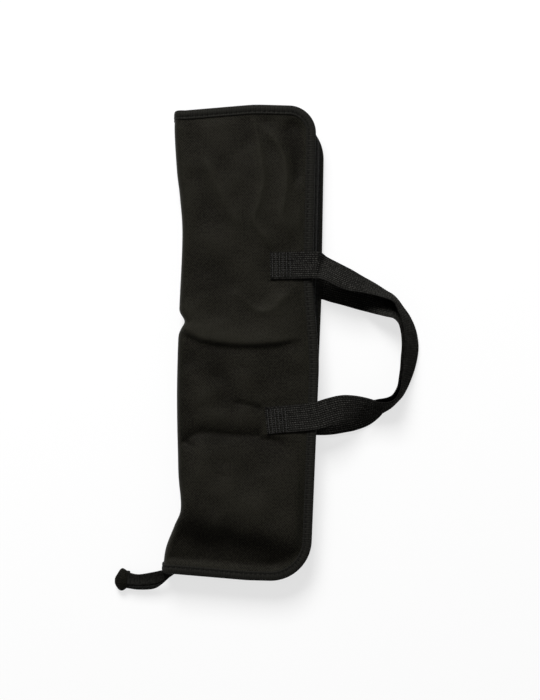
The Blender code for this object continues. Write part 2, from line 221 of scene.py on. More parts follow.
def pale_sky():
    """Dim sky, paler towards the horizon."""
    world = bpy.data.worlds.new("sky")
    scene.world = world
    world.use_nodes = True
    tree = world.node_tree
    where = tree.nodes.new("ShaderNodeTexCoord")
    split = tree.nodes.new("ShaderNodeSeparateXYZ")
    ramp = tree.nodes.new("ShaderNodeValToRGB")
    ramp.color_ramp.elements[0].color = HORIZON_TONE
    ramp.color_ramp.elements[1].position = HORIZON_REACH
    ramp.color_ramp.elements[1].color = SKY_TONE
    tree.links.new(where.outputs["Generated"], split.inputs[0])
    tree.links.new(split.outputs["Z"], ramp.inputs["Fac"])
    tree.links.new(ramp.outputs["Color"], tree.nodes["Background"].inputs["Color"])


paper_floor()
soft_lamp("key_lamp", KEY_PLACE, KEY_SIZE, KEY_WATTS)
pale_sky()
print("floor, lamp and sky")

# %% [markdown]
# Every cloth here is woven, so the weave is a node group that all of them use. It takes a place on the
# cloth, which each mesh carries along as the attribute cloth_at, in metres along and across the threads.
# In a plain weave one thread lies over the next in turn: the sum of the two cell numbers says which is on
# top, and a sine gives each thread its round back.

# %% Weave group
def plain_weave():
    group, given, made = new_group(
        "plain_weave", {"Place": "Vector", "Thread": "Float"}, {"Height": "Float", "Over": "Float"})
    split = group.nodes.new("ShaderNodeSeparateXYZ")
    feed(group, given["Place"], split.inputs[0])
    counts = [calc(group, "DIVIDE", split.outputs[axis], given["Thread"]) for axis in "XY"]
    turns = [calc(group, "MULTIPLY", count, math.pi) for count in counts]
    backs = [calc(group, "ABSOLUTE", calc(group, "SINE", turn)) for turn in turns]
    cells = calc(group, "ADD", *[calc(group, "FLOOR", count) for count in counts])
    over = calc(group, "FLOORED_MODULO", cells, 2.0)
    threads = []
    for across, along in (backs, backs[::-1]):
        dip = calc(group, "MULTIPLY_ADD", along, 0.6, 0.4)
        threads.append(calc(group, "MULTIPLY", calc(group, "POWER", across, 0.5), dip))
    step = calc(group, "SUBTRACT", threads[1], threads[0])
    feed(group, calc(group, "MULTIPLY_ADD", over, step, threads[0]), made["Height"])
    feed(group, over, made["Over"])
    return group


weave = plain_weave()
print("weave group with", len(weave.nodes), "nodes")

# %% [markdown]
# Edge tape and zip tape are ribbed: fine ridges cross the tape, and a thread runs along it. Cloth that
# has been carried about is also never of one tone, so another group makes soft patches from two sizes of
# noise. Both are groups because several finishes use them, each with its own scale.

# %% Rib group and patch group
# Output, how many times finer than the scale it is, and the noise that becomes 0 and 1
PATCH_LAYERS = (("Mask", 1.0, 0.36, 0.64), ("Fuzz", 21.0, 0.4, 0.6))


def ribbed_weave():
    group, given, made = new_group(
        "ribbed_weave", {"Place": "Vector", "Thread": "Float"}, {"Height": "Float", "Over": "Float"})
    split = group.nodes.new("ShaderNodeSeparateXYZ")
    feed(group, given["Place"], split.inputs[0])
    counts = [calc(group, "DIVIDE", split.outputs[axis], given["Thread"]) for axis in "XY"]
    rib = calc(group, "ABSOLUTE", calc(group, "SINE", calc(group, "MULTIPLY", counts[0], math.pi)))
    fine = calc(group, "MULTIPLY", counts[1], 2 * math.pi)
    thread = calc(group, "MULTIPLY_ADD", calc(group, "SINE", fine), 0.15, 0.85)
    feed(group, calc(group, "MULTIPLY", rib, thread), made["Height"])
    feed(group, calc(group, "FLOORED_MODULO", calc(group, "FLOOR", counts[0]), 2.0), made["Over"])
    return group


def soft_patches():
    group, given, made = new_group(
        "soft_patches", {"Place": "Vector", "Scale": "Float"}, {"Mask": "Float", "Fuzz": "Float"})
    for label, times, low, high in PATCH_LAYERS:
        noise = group.nodes.new("ShaderNodeTexNoise")
        noise.inputs["Detail"].default_value = 3.0
        feed(group, given["Place"], noise.inputs["Vector"])
        feed(group, calc(group, "MULTIPLY", given["Scale"], times), noise.inputs["Scale"])
        spread = group.nodes.new("ShaderNodeMapRange")
        feed(group, noise.outputs["Fac"], spread.inputs["Value"])
        spread.inputs["From Min"].default_value = low
        spread.inputs["From Max"].default_value = high
        feed(group, spread.outputs["Result"], made[label])
    return group


ribs = ribbed_weave()
patches = soft_patches()
print("rib group and patch group ready")

# %% [markdown]
# Now the finishes. The outer cloth is a black coated plain weave with a soft sheen and an olive cast. The
# edge tape and the webbing are a more neutral black. Each is one call of the same function: two tones, a
# weave at its real scale, a relief for the bump, and how rough and how shiny it is. The tone paints shade
# between the thread backs and a painted sheen on every other cell of the weave. Places that a mesh marks go
# towards the lighter or the darker tone: real wear, and painted highlight and painted shade on the relief.

# %% Cloth finishes
PATCH_SCALE = 26.0
WARM_SHEEN = (1, 0.96, 0.86, 1)


def tint(tree, shader, tone, dark, light, rough):
    """Colour and roughness of a finish, each between two ends as its tone says."""
    colour = tree.nodes.new("ShaderNodeMix")
    colour.data_type = "RGBA"
    feed(tree, tone, colour.inputs["Factor"])
    colour.inputs["A"].default_value = (*dark, 1)
    colour.inputs["B"].default_value = (*light, 1)
    feed(tree, colour.outputs["Result"], shader.inputs["Base Color"])
    roughness = tree.nodes.new("ShaderNodeMapRange")
    feed(tree, tone, roughness.inputs["Value"])
    roughness.inputs["To Min"].default_value = rough[0]
    roughness.inputs["To Max"].default_value = rough[1]
    feed(tree, roughness.outputs["Result"], shader.inputs["Roughness"])


def fabric(name, dark, light, pattern, thread, relief, rough, shine, shares):
    """Woven finish. The shares say how much the painted shade between threads, the painted cell sheen, the
    patches and the marked wear and painted light count in its tone.
    """
    finish, tree, shader = new_material(name)
    where = tree.nodes.new("ShaderNodeAttribute")
    where.attribute_name = "cloth_at"
    wear_and_painted_light = tree.nodes.new("ShaderNodeAttribute")
    wear_and_painted_light.attribute_name = "wear_and_painted_light"
    threads = place_group(tree, pattern, Place=where.outputs["Vector"], Thread=thread)
    patch = place_group(tree, patches, Place=where.outputs["Vector"], Scale=PATCH_SCALE)
    # Painted shade and sheen: the thread backs and every other cell of the weave are made lighter in tone
    tone = calc(tree, "MULTIPLY", threads["Height"], shares["threads"])
    tone = calc(tree, "MULTIPLY_ADD", threads["Over"], shares["painted_cell_sheen"], tone)
    tone = calc(tree, "MULTIPLY_ADD", patch["Mask"], shares["patches"], tone)
    tone = calc(tree, "MULTIPLY_ADD", patch["Fuzz"], shares["fuzz"], tone)
    # Marked places: real wear, with painted highlight and painted shade where the relief stands up or sinks
    tone = calc(tree, "MULTIPLY_ADD", wear_and_painted_light.outputs["Fac"], shares["wear_and_painted_light_share"], tone)
    tint(tree, shader, tone, dark, light, rough)
    bump = tree.nodes.new("ShaderNodeBump")
    bump.inputs["Distance"].default_value = relief
    feed(tree, threads["Height"], bump.inputs["Height"])
    feed(tree, bump.outputs["Normal"], shader.inputs["Normal"])
    shader.inputs["Specular IOR Level"].default_value = shine
    shader.inputs["Specular Tint"].default_value = WARM_SHEEN
    return finish


CLOTH_SHARES = {"threads": 0.03, "painted_cell_sheen": 0.56, "patches": 0.16, "fuzz": 0.44, "wear_and_painted_light_share": 0.55}
LINING_SHARES = {"threads": 0.4, "painted_cell_sheen": 0.2, "patches": 0.1, "fuzz": 0.1, "wear_and_painted_light_share": 0.4}
TAPE_SHARES = {"threads": 0.55, "painted_cell_sheen": 0.04, "patches": 0.06, "fuzz": 0.5, "wear_and_painted_light_share": 0.4}
WEBBING_SHARES = {"threads": 0.04, "painted_cell_sheen": 0.02, "patches": 0.04, "fuzz": 0.12, "wear_and_painted_light_share": 0.9}
outer_cloth = fabric("outer_cloth", (0.0002, 0.0002, 0.0002), (0.0164, 0.0155, 0.0114), weave,
                     thread=0.0012, relief=0.00012, rough=(0.6, 0.48), shine=0.05, shares=CLOTH_SHARES)
lining_cloth = fabric("lining_cloth", (0.004, 0.004, 0.004), (0.024, 0.024, 0.023), weave,
                      thread=0.0008, relief=0.0001, rough=(0.5, 0.4), shine=0.2, shares=LINING_SHARES)
edge_tape = fabric("edge_tape", (0.0003, 0.0003, 0.0003), (0.0118, 0.0116, 0.0101), ribs,
                   thread=0.0023, relief=0.0003, rough=(0.75, 0.6), shine=0.05, shares=TAPE_SHARES)
# The zip tape on the bag is painted lighter than the same tape in the tail: painted light in the shaded strip
# beside the binding
zip_tape_painted_lighter = fabric("zip_tape_painted_lighter", (0.001, 0.001, 0.001), (0.018, 0.018, 0.0172), ribs,
                   thread=0.0016, relief=0.0002, rough=(0.7, 0.55), shine=0.06, shares=TAPE_SHARES)
tail_cloth = fabric("tail_cloth", (0.0006, 0.0006, 0.0006), (0.0118, 0.0115, 0.0104), ribs,
                    thread=0.0016, relief=0.0002, rough=(0.8, 0.65), shine=0.04, shares=TAPE_SHARES)
strap_webbing = fabric("strap_webbing", (0.0008, 0.0008, 0.0007), (0.064, 0.0625, 0.0570), weave,
                       thread=0.0012, relief=0.0002, rough=(0.95, 0.8), shine=0.0, shares=WEBBING_SHARES)
seam_thread = fabric("seam_thread", (0.001, 0.001, 0.001), (0.006, 0.006, 0.0057), ribs,
                     thread=0.0006, relief=0.0001, rough=(0.7, 0.6), shine=0.08, shares=TAPE_SHARES)
handle_thread = fabric("handle_thread", (0.012, 0.012, 0.0116), (0.06, 0.0595, 0.058), ribs,
                       thread=0.0006, relief=0.0001, rough=(0.6, 0.5), shine=0.1, shares=TAPE_SHARES)
print("cloth finishes: cloth, lining, edge tape, zip tape, its tail, webbing and two threads")

# %% [markdown]
# The slider, its bail and its puller are black coated metal, with the coating rubbed a little thinner in
# patches. The zip's coil is plain black nylon. Neither is woven, so they read their place from the object
# itself instead of the cloth.

# %% Metal and nylon
def smooth_finish(name, dark, light, metallic, rough):
    finish, tree, shader = new_material(name)
    where = tree.nodes.new("ShaderNodeTexCoord")
    patch = place_group(tree, patches, Place=where.outputs["Object"], Scale=160.0)
    tone = calc(tree, "MULTIPLY_ADD", patch["Fuzz"], 0.4, calc(tree, "MULTIPLY", patch["Mask"], 0.6))
    tint(tree, shader, tone, dark, light, rough)
    shader.inputs["Metallic"].default_value = metallic
    return finish


black_metal = smooth_finish("black_metal", (0.010, 0.010, 0.011), (0.03, 0.03, 0.031), 0.4, (0.3, 0.5))
coil_nylon = smooth_finish("coil_nylon", (0.008, 0.008, 0.008), (0.02, 0.02, 0.02), 0.0, (0.35, 0.5))
print("metal and nylon ready")

# %% [markdown]
# Pieces of cloth follow lines: rims with rounded corners, folds and routes through a few chosen points.
# These helpers make such a line, space its points evenly, and move it inwards. A rim runs clockwise seen
# from the front, so its inside is on its right.

# %% Lines
ARC_STEPS = 17
CURVE_STEPS = 12


def unit(vectors):
    return vectors / np.linalg.norm(vectors, axis=-1, keepdims=True)


def walked(path):
    """Distance from the start to each point of a path."""
    steps = np.linalg.norm(np.diff(path[:, :3], axis=0), axis=1)
    return np.concatenate([[0], np.cumsum(steps)])


def read_at(path, distances):
    """Points of a path at some distances from its start."""
    along = walked(path)
    return np.column_stack([np.interp(distances, along, column) for column in path.T])


def even(path, count):
    """The path again, as a number of points at equal steps."""
    return read_at(path, np.linspace(0, walked(path)[-1], count))


def smooth(route, count):
    """Curve through every point of a route, as evenly spaced points."""
    route = np.asarray(route, float)
    ends = np.vstack([2 * route[0] - route[1], route, 2 * route[-1] - route[-2]])
    t = np.linspace(0, 1, CURVE_STEPS, endpoint=False)[:, None]
    parts = []
    for before, start, end, after in zip(ends, ends[1:], ends[2:], ends[3:]):
        slope = end - before
        bend = 2 * before - 5 * start + 4 * end - after
        twist = 3 * start - before - 3 * end + after
        parts.append(start + 0.5 * (slope * t + bend * t ** 2 + twist * t ** 3))
    return even(np.vstack(parts + [route[-1:]]), count)


def rounded(corners, count):
    """Straight runs with an arc at each corner: x, y and the radius of the corner."""
    rows = np.asarray(corners, float)
    path = [rows[:1, :2]]
    for before, corner, after in zip(rows, rows[1:], rows[2:]):
        place, radius = corner[:2], corner[2]
        back = unit(before[:2] - place)
        ahead = unit(after[:2] - place)
        half = math.acos(back @ ahead) / 2
        middle = place + unit(back + ahead) * radius / math.sin(half)
        first = place + back * radius / math.tan(half) - middle
        last = place + ahead * radius / math.tan(half) - middle
        share = np.linspace(0, 1, ARC_STEPS)[:, None]
        path.append(middle + unit(first * (1 - share) + last * share) * radius)
    path.append(rows[-1:, :2])
    return even(np.vstack(path), count)


def inward_of(path):
    """Direction to the right of a flat path at each of its points."""
    along = unit(np.gradient(path, axis=0))
    return np.column_stack([along[:, 1], -along[:, 0]])


def inset(path, distance):
    return path + inward_of(path) * distance


def lift(path, height):
    """A flat path as places at one height."""
    return np.column_stack([path[:, :2], np.full(len(path), height)])


print("line helpers ready")

# %% [markdown]
# A piece of cloth starts as a grid of places, rows by columns. Thickness turns the grid into a closed
# skin: the grid moved up along its normals, the grid moved down, and a border that joins the two. Tapes
# that wrap an edge are a closed outline carried along a path instead. Both give the mesh its cloth_at
# attribute, so that the weave lies along the cloth and not along the room.

# %% Skins
def normals(grid):
    """Unit normal at each point of a grid."""
    return unit(np.cross(np.gradient(grid, axis=1), np.gradient(grid, axis=0)))


def new_piece(name, places, faces, finish, cloth_at=None, wear_and_painted_light=None):
    """Mesh object from places in millimetres of the drawing."""
    mesh = bpy.data.meshes.new(name)
    mesh.from_pydata(to_frame(places).tolist(), [], faces)
    mesh.shade_smooth()
    mesh.materials.append(finish)
    if cloth_at is not None:
        where = np.zeros((len(places), 3), np.float32)
        where[:, :2] = np.asarray(cloth_at) * MM
        layer = mesh.attributes.new("cloth_at", "FLOAT_VECTOR", "POINT")
        layer.data.foreach_set("vector", where.ravel())
    # The attribute holds real wear together with painted highlight and painted shade
    if wear_and_painted_light is not None:
        layer = mesh.attributes.new("wear_and_painted_light", "FLOAT", "POINT")
        layer.data.foreach_set("value", np.asarray(wear_and_painted_light, np.float32).ravel())
    piece = bpy.data.objects.new(name, mesh)
    scene.collection.objects.link(piece)
    return piece


def quads(numbers):
    """Faces between neighbouring rows and columns of a table of point numbers."""
    corners = numbers[:-1, :-1], numbers[:-1, 1:], numbers[1:, 1:], numbers[1:, :-1]
    return np.stack(corners, axis=-1).reshape(-1, 4).tolist()


def skin(name, grid, up, down, finish, cloth_at, wear_and_painted_light=None):
    """Closed cloth: up and down say how far each side lies from the grid."""
    rows, columns = grid.shape[:2]
    normal = normals(grid)
    top = grid + normal * np.broadcast_to(up, (rows, columns))[..., None]
    bottom = grid - normal * np.broadcast_to(down, (rows, columns))[..., None]
    upper = np.arange(rows * columns).reshape(rows, columns)
    lower = upper + rows * columns
    ring = [np.concatenate([n[0, :-1], n[:-1, -1], n[-1, :0:-1], n[:0:-1, 0]]) for n in (upper, lower)]
    border = np.stack([np.append(ring[1], ring[1][0]), np.append(ring[0], ring[0][0])])
    faces = quads(upper) + quads(lower[:, ::-1]) + quads(border)
    places = np.concatenate([top.reshape(-1, 3), bottom.reshape(-1, 3)])
    at = np.tile(np.asarray(cloth_at).reshape(-1, 2), (2, 1))
    painted_light_and_wear = None if wear_and_painted_light is None else np.tile(np.ravel(wear_and_painted_light), 2)
    return new_piece(name, places, faces, finish, at, painted_light_and_wear)


def carried(name, outlines, finish, along, wear_and_painted_light=None):
    """Closed outlines, one for each point of a path, joined to a solid with capped ends."""
    stations, around = outlines.shape[:2]
    numbers = np.arange(stations * around).reshape(stations, around)
    wrapped = np.column_stack([numbers, numbers[:, 0]])
    faces = quads(wrapped) + [numbers[0].tolist()[::-1], numbers[-1].tolist()]
    girth = np.concatenate([np.zeros((stations, 1)), np.cumsum(
        np.linalg.norm(np.diff(outlines, axis=1), axis=2), axis=1)], axis=1)
    at = np.stack([np.broadcast_to(along[:, None], girth.shape), girth], axis=-1)
    painted_light_and_wear = None if wear_and_painted_light is None else np.broadcast_to(wear_and_painted_light, (stations, around))
    return new_piece(name, outlines.reshape(-1, 3), faces, finish, at.reshape(-1, 2), painted_light_and_wear)


def soften(piece):
    """One level of subdivision, alike in the viewport and in the render."""
    smoother = piece.modifiers.new("soft", "SUBSURF")
    smoother.levels = 1
    smoother.render_levels = 1
    return piece


print("skin helpers ready")

# %% [markdown]
# Threads hold all of this together, and stitches are what the eye looks for on sewn goods. Each stitch is
# a small round thread that comes out of the cloth, lies on it and dips in again. One function lays a row of
# them along any line with a known normal, and one mesh holds a whole seam.

# %% Stitches
THREAD = 0.34
STITCH_SIDES = 6
STITCH_LIFT = np.array([-0.3, 0.12, 0.2, 0.12, -0.3])
STITCH_GIRTH = np.array([0.6, 1, 1, 1, 0.6])


def stitch_row(line, normal, pitch, length):
    """Rings of points for each stitch along a line."""
    count = int(walked(line)[-1] / pitch)
    starts = (np.arange(count) + 0.5) * pitch - length / 2
    at = starts[:, None] + np.linspace(0, length, len(STITCH_LIFT))
    along = walked(line)
    middle = np.stack([np.interp(at, along, column) for column in line.T], axis=-1)
    up = unit(np.stack([np.interp(at, along, column) for column in normal.T], axis=-1))
    ahead = unit(np.gradient(middle, axis=1))
    side = np.cross(ahead, up)
    middle = middle + up * STITCH_LIFT[None, :, None]
    turn = np.linspace(0, 2 * math.pi, STITCH_SIDES, endpoint=False)
    ring = up[:, :, None] * np.cos(turn)[:, None] + side[:, :, None] * np.sin(turn)[:, None]
    return middle[:, :, None] + ring * (THREAD * STITCH_GIRTH)[None, :, None, None]


def stitches(name, rows, thread):
    """One piece from several rows of stitches."""
    rings = np.concatenate(rows)
    count, stations, sides = rings.shape[:3]
    faces = []
    for stitch in range(count):
        numbers = np.arange(stations * sides).reshape(stations, sides) + stitch * stations * sides
        faces += quads(np.column_stack([numbers, numbers[:, 0]])[::-1])
        faces += [numbers[0].tolist(), numbers[-1].tolist()[::-1]]
    at = np.zeros(rings.shape[:3] + (2,))
    at[..., 0] = np.arange(stations)[None, :, None] * 0.7 + np.arange(count)[:, None, None] * 3
    print(name, "has", count, "stitches")
    return new_piece(name, rings.reshape(-1, 3), faces, thread, at.reshape(-1, 2))


# %% [markdown]
# The covers come first because everything is sewn to them. Each has a rim on three sides and a fold on the
# fourth. The folded edge isn't straight: the soft bag has slumped in along its middle. The rims are nearly
# the solids' own, and the fold line follows the slump a little more closely than theirs.

# %% Rims and fold of the covers
BAG_HEIGHT = 24
MEETING = BAG_HEIGHT / 2
COVER = 5.4
RIMS = {
    "front": [(-71, 218.4, 0), (0, 226.3, 150), (59, 226.3, 26), (60, 60, 200), (68, -16, 200),
              (64.9, -225, 39), (5, -225, 120), (-71, -220.6, 0)],
    "back": [(-71, 217.6, 0), (67.2, 217.6, 40), (69, 40, 400), (64.8, -222.5, 42), (-71, -220.4, 0)],
}
FOLD_LINE = [(-75.2, 221), (-75.5, 200), (-72.2, 162), (-68.8, 138), (-65.4, 101), (-66.4, 35), (-65.4, 27),
             (-60.8, 18.6), (-65.6, 9), (-66.8, -2), (-66.5, -56), (-63.2, -122), (-59, -158), (-66, -177),
             (-73.6, -199), (-75.6, -224)]
FOLD_SHAPE = 0.75
TOWARDS = {"front": 1, "back": -1}
rims = {side: rounded(corners, 1000) for side, corners in RIMS.items()}
fold = smooth(FOLD_LINE, 300)[::-1]


def fold_x(y):
    """Outermost place of the folded edge at some place along the bag."""
    return np.interp(y, fold[:, 1], fold[:, 0])


def fold_profile(width, rise, count):
    """Way round the fold from the spine's wall to the cover: distance in, and height."""
    turn = np.linspace(0, math.pi / 2, 60)
    around = np.column_stack([width * (1 - np.cos(turn) ** FOLD_SHAPE), rise * np.sin(turn) ** FOLD_SHAPE])
    return even(around, count)


print("front cover is", np.ptp(rims["front"], axis=0).round(1), "mm")

# %% [markdown]
# A cover's cloth is a patch between four edges: the fold, the bottom, the zip side and the top. Blending the
# four edges fills the patch with an even grid, also where the corners are round. On the fold side the grid
# goes on round the fold and half way down the spine, so that one cloth covers the cover and its half of the
# spine, as on the real bag.

# %% Grid of a cover
FOLD_COLUMNS = 8


def patch(bottom, top, left, right):
    """Grid of places between four edges, bottom and top from left to right, the others upwards."""
    u = np.linspace(0, 1, len(bottom))[None, :, None]
    v = np.linspace(0, 1, len(left))[:, None, None]
    across = (1 - v) * bottom[None] + v * top[None]
    along = (1 - u) * left[:, None] + u * right[:, None]
    corners = ((1 - u) * (1 - v) * bottom[0] + u * (1 - v) * bottom[-1]
               + (1 - u) * v * top[0] + u * v * top[-1])
    return across + along - corners


def cover_grid(side, edge_inset, fold_inset, fold_width, rise, rows, columns):
    """Grid of one layer of a cover and its half of the spine, and the place of each point on the cloth."""
    edge = inset(rims[side], edge_inset)
    top_corner = np.argmax(edge @ (1, 1))
    low_corner = np.argmax(edge @ (1, -1))
    wall = fold_inset + fold_width

    def from_fold(run):
        start = fold_x(run[0, 1]) + wall
        first = (start, np.interp(start, run[:, 0], run[:, 1]))
        return even(np.vstack([first, run[run[:, 0] > start + 1]]), columns)

    top = from_fold(edge[:top_corner + 1])
    bottom = from_fold(edge[low_corner:][::-1])
    right = even(edge[top_corner:low_corner + 1][::-1], rows)
    left_y = np.linspace(bottom[0, 1], top[0, 1], rows)
    left = np.column_stack([fold_x(left_y) + wall, left_y])
    flat = patch(bottom, top, left, right)
    around = fold_profile(fold_width, rise, FOLD_COLUMNS)
    spine = [np.column_stack([left[:, 0] - fold_width + step, left_y, np.full(rows, height)])
             for step, height in around[:-1]]
    cover = np.dstack([flat, np.full(flat.shape[:2], rise)])
    grid = np.concatenate([np.stack(spine, axis=1), cover], axis=1)
    back_to_wall = walked(around)[:-1] - walked(around)[-1]
    cloth_x = np.concatenate([left[:, :1] + back_to_wall, flat[:, :, 0]], axis=1)
    cloth_at = np.stack([cloth_x, grid[:, :, 1]], axis=-1)
    grid[:, :, 2] = MEETING + TOWARDS[side] * grid[:, :, 2]
    if side == "back":
        return grid[::-1], cloth_at[::-1]
    return grid, cloth_at


CLOTH_INSET = 6.5
FOLD_WIDTH = 9
GRID_ROWS = 113
GRID_COLUMNS = 33
grids = {side: cover_grid(side, CLOTH_INSET, 0, FOLD_WIDTH, MEETING, GRID_ROWS, GRID_COLUMNS)
         for side in RIMS}
print("cover grids:", grids["front"][0].shape, grids["back"][0].shape)

# %% [markdown]
# The foam under the cloth presses it outwards, while the seams hold it down. A cloth simulation finds that
# shape: the rim, the spine's middle and the sewn ends of the handle are pinned, the cloth is a little larger
# than its frame, and a gentle pressure does the rest. How far a point may move is capped, because a padded
# cover swells a few millimetres and not more. The result is read back as plain places, so no simulation is
# left on the piece.

# %% Foam presses the cloth out
SEWN = {"front": [(17, 58, 59, 88), (17, 58, -87, -54)], "back": [(17, 58, 43, 71), (17, 58, -88, -60)]}
SWELL = {"front": 3.0, "back": 0.9}
SWELL_GAIN = 1.6
SIM_FRAMES = 18


def pinned_points(side, grid):
    """True where a cloth is held: its border, the spine, and under the sewn ends of the handle."""
    held = np.zeros(grid.shape[:2], bool)
    held[:2] = True
    held[-2:] = True
    held[:, -2:] = True
    held[:, :FOLD_COLUMNS] = True
    for left, right, low, high in SEWN[side]:
        x, y = grid[:, :, 0], grid[:, :, 1]
        held |= (x > left) & (x < right) & (y > low) & (y < high)
    return held


def press_out(side, grid):
    """The grid after foam has pressed it out, from a cloth simulation."""
    held = pinned_points(side, grid)
    numbers = np.arange(held.size).reshape(held.shape)
    trial = new_piece(f"{side}_trial", grid.reshape(-1, 3), quads(numbers), outer_cloth)
    group = trial.vertex_groups.new(name="sewn")
    group.add(numbers[held].tolist(), 1.0, "REPLACE")
    cloth = trial.modifiers.new("cloth", "CLOTH")
    cloth.settings.quality = 6
    cloth.settings.mass = 0.1
    cloth.settings.bending_stiffness = 0.4
    cloth.settings.vertex_group_mass = "sewn"
    cloth.settings.use_pressure = True
    cloth.settings.uniform_pressure_force = 1.2
    cloth.settings.effector_weights.gravity = 0
    for step in range(1, SIM_FRAMES + 1):
        scene.frame_set(step)
    moved = np.zeros(held.size * 3, np.float32)
    depsgraph = bpy.context.evaluated_depsgraph_get()
    trial.evaluated_get(depsgraph).data.vertices.foreach_get("co", moved)
    scene.frame_set(1)
    mesh = trial.data
    bpy.data.objects.remove(trial)
    bpy.data.meshes.remove(mesh)
    swell = (moved.reshape(grid.shape) - to_frame(grid)) / MM
    reach = np.linalg.norm(swell, axis=-1, keepdims=True)
    print(side, "cloth swells up to", reach.max().round(2), "mm before the cap")
    return grid + swell * SWELL[side] / np.maximum(reach + SWELL[side], 1e-6) * SWELL_GAIN


def finer(grid):
    """The grid with a point between every two, on a smooth curve through them."""
    for axis in (0, 1):
        grid = np.swapaxes(grid, 0, axis)
        ends = np.concatenate([2 * grid[:1] - grid[1:2], grid, 2 * grid[-1:] - grid[-2:-1]])
        between = (9 * (ends[1:-2] + ends[2:-1]) - ends[:-3] - ends[3:]) / 16
        woven = np.empty((2 * len(grid) - 1,) + grid.shape[1:])
        woven[::2] = grid
        woven[1::2] = between
        grid = np.swapaxes(woven, 0, axis)
    return grid


swollen = {}
for side, (grid, cloth_at) in grids.items():
    pressed = press_out(side, grid)
    swollen[side] = (finer(pressed), finer(cloth_at))

# %% [markdown]
# The bag has been bent and carried, and the creases of that are what makes it look like cloth. Each is a
# line that someone could draw on the cover with a finger: a fold, a ridge or a hollow. Heights fall off on
# both sides of the line, each with its own reach. A power of 1 makes a sharp fold, where the cloth above
# hangs over the cloth below, and a power of 2 a soft swell. Lower down the padding stops short of the bottom
# seam and the cover drops, and small random hills make the cloth between the creases uneven.

# %% Creases of the front cover
DEEP_FOLD = [(-84, 23), (-64, 10.7), (-50.5, 3.4), (-39, -0.1),
             (-7.5, -3.1), (21, -1.3), (44, 3.1), (58, 6)]
# Name, height, reach on the left and on the right of the line, power, and the line itself
CREASES = [
    ("lip of the deep fold", 2.8, 26.0, 1.2, 1.0, DEEP_FOLD),
    ("deep fold across the middle", -2.8, 1.2, 11.0, 1.0, DEEP_FOLD),
    ("fold below the middle", -3.8, 7.0, 9.0, 1.1,
     [(-84, -112), (-62, -98), (-46, -87.5), (-26, -86.3), (-5, -87.6), (19.5, -88.5), (44, -98)]),
    ("nick in the folded edge", -1.4, 2.4, 3.0, 1.5, [(-80, -90), (-62, -94), (-46, -101)]),
    ("swell that hangs over it", 1.2, 9.0, 7.0, 2, [(-52, -76), (-30, -72), (4, -74)]),
    ("pinch beside the lower handle end", -2.0, 2.0, 4.0, 1.2, [(-14, -55.5), (3.5, -58.8), (20, -63)]),
    ("ridge from the top edge", 2.3, 4.6, 3.6, 1.3,
     [(-6, 228), (1.8, 202.7), (8.4, 171), (10.3, 153), (5.2, 130), (2.6, 115), (14.8, 98), (23, 80)]),
    ("ridge beside it", 2.3, 4.6, 3.6, 1.3,
     [(0, 214), (16.5, 197), (25.5, 184.5), (31.8, 168.6), (32.4, 148), (29.8, 131), (28.7, 120.5), (35, 104),
      (33.8, 84)]),
    ("ridge at the left", 1.6, 5.6, 5.6, 1.3,
     [(-52, 182), (-33, 149), (-28.5, 139), (-20.8, 125), (-2, 106)]),
    ("ridge along the binding", 1.2, 3.0, 3.0, 1.4, [(45, 130), (48, 107), (51, 84)]),
    ("left arm of the dent", 0.8, 3.0, 5.0, 1.2, [(-20, 50), (-4, 41), (2, 35), (14, 30), (24, 26)]),
    ("right arm of the dent", 0.9, 5.0, 3.0, 1.2, [(6, 24), (14, 31), (24, 33), (31, 42), (44, 50)]),
    ("corner hollow", -2.6, 11.0, 9.0, 2, [(34, 220), (42, 190), (46, 146)]),
    ("slack along the spine", -1.0, 12.0, 9.0, 2, [(-54, 210), (-52, 160), (-48, 110), (-50, 60)]),
    ("swell under the middle", 1.2, 9.0, 9.0, 2, [(-60, -22), (-46, -42), (-34, -60)]),
    ("swell beside the handle end", 1.0, 9.0, 9.0, 2, [(-10, -22), (0, -54), (4, -84)]),
    ("hollow between them", -0.9, 9.0, 9.0, 2, [(-30, -24), (-22, -48), (-24, -72)]),
    ("swell of the lower half", 1.2, 18.0, 16.0, 2, [(-56, -96), (-32, -126), (4, -150), (58, -172)]),
]
CREASE_FADE = 0.22
PADDING_END = [(-86, -171), (-40, -181), (7, -187), (60, -199), (84, -203)]
PADDING_DROP = 4.2
PADDING_LEVEL = 1.2
PADDING_RUN = 9
PADDING_FADE = 62
# Reach of the painted shade above and below the line where the padding ends
HOLLOW_SHADE_REACH = (16, 26)
CRUMPLE_SIZES = {32: 1.1, 14: 0.55, 6: 0.18}
CRUMPLE_SEED = 11
CRUMPLE_CELLS = 90
RELIEF_START = 8
RELIEF_RUN = 9


def from_line(places, line):
    """Distance of each place from a line, positive on its left, and its share of the way along."""
    nearest = np.full(len(places), np.inf)
    side = np.zeros(len(places))
    share = np.zeros(len(places))
    for index, (start, end) in enumerate(zip(line, line[1:])):
        run = end - start
        t = np.clip((places - start) @ run / (run @ run), 0, 1)
        away = places - start - t[:, None] * run
        distance = np.linalg.norm(away, axis=1)
        closer = distance < nearest
        nearest[closer] = distance[closer]
        side[closer] = np.sign(run[0] * away[:, 1] - run[1] * away[:, 0])[closer]
        share[closer] = (index + t[closer]) / (len(line) - 1)
    return nearest * side, share


def ease(share):
    share = np.clip(share, 0, 1)
    return share * share * (3 - 2 * share)


def crease_heights(places):
    """Height that the creases give each place of the cover."""
    height = np.zeros(len(places))
    for name, rise, left, right, power, route in CREASES:
        away, share = from_line(places, smooth(route, 30))
        reach = np.where(away > 0, left, right)
        fall = np.exp(-np.abs(away / reach) ** power)
        height += rise * ease(np.minimum(share, 1 - share) / CREASE_FADE) * fall
    return height


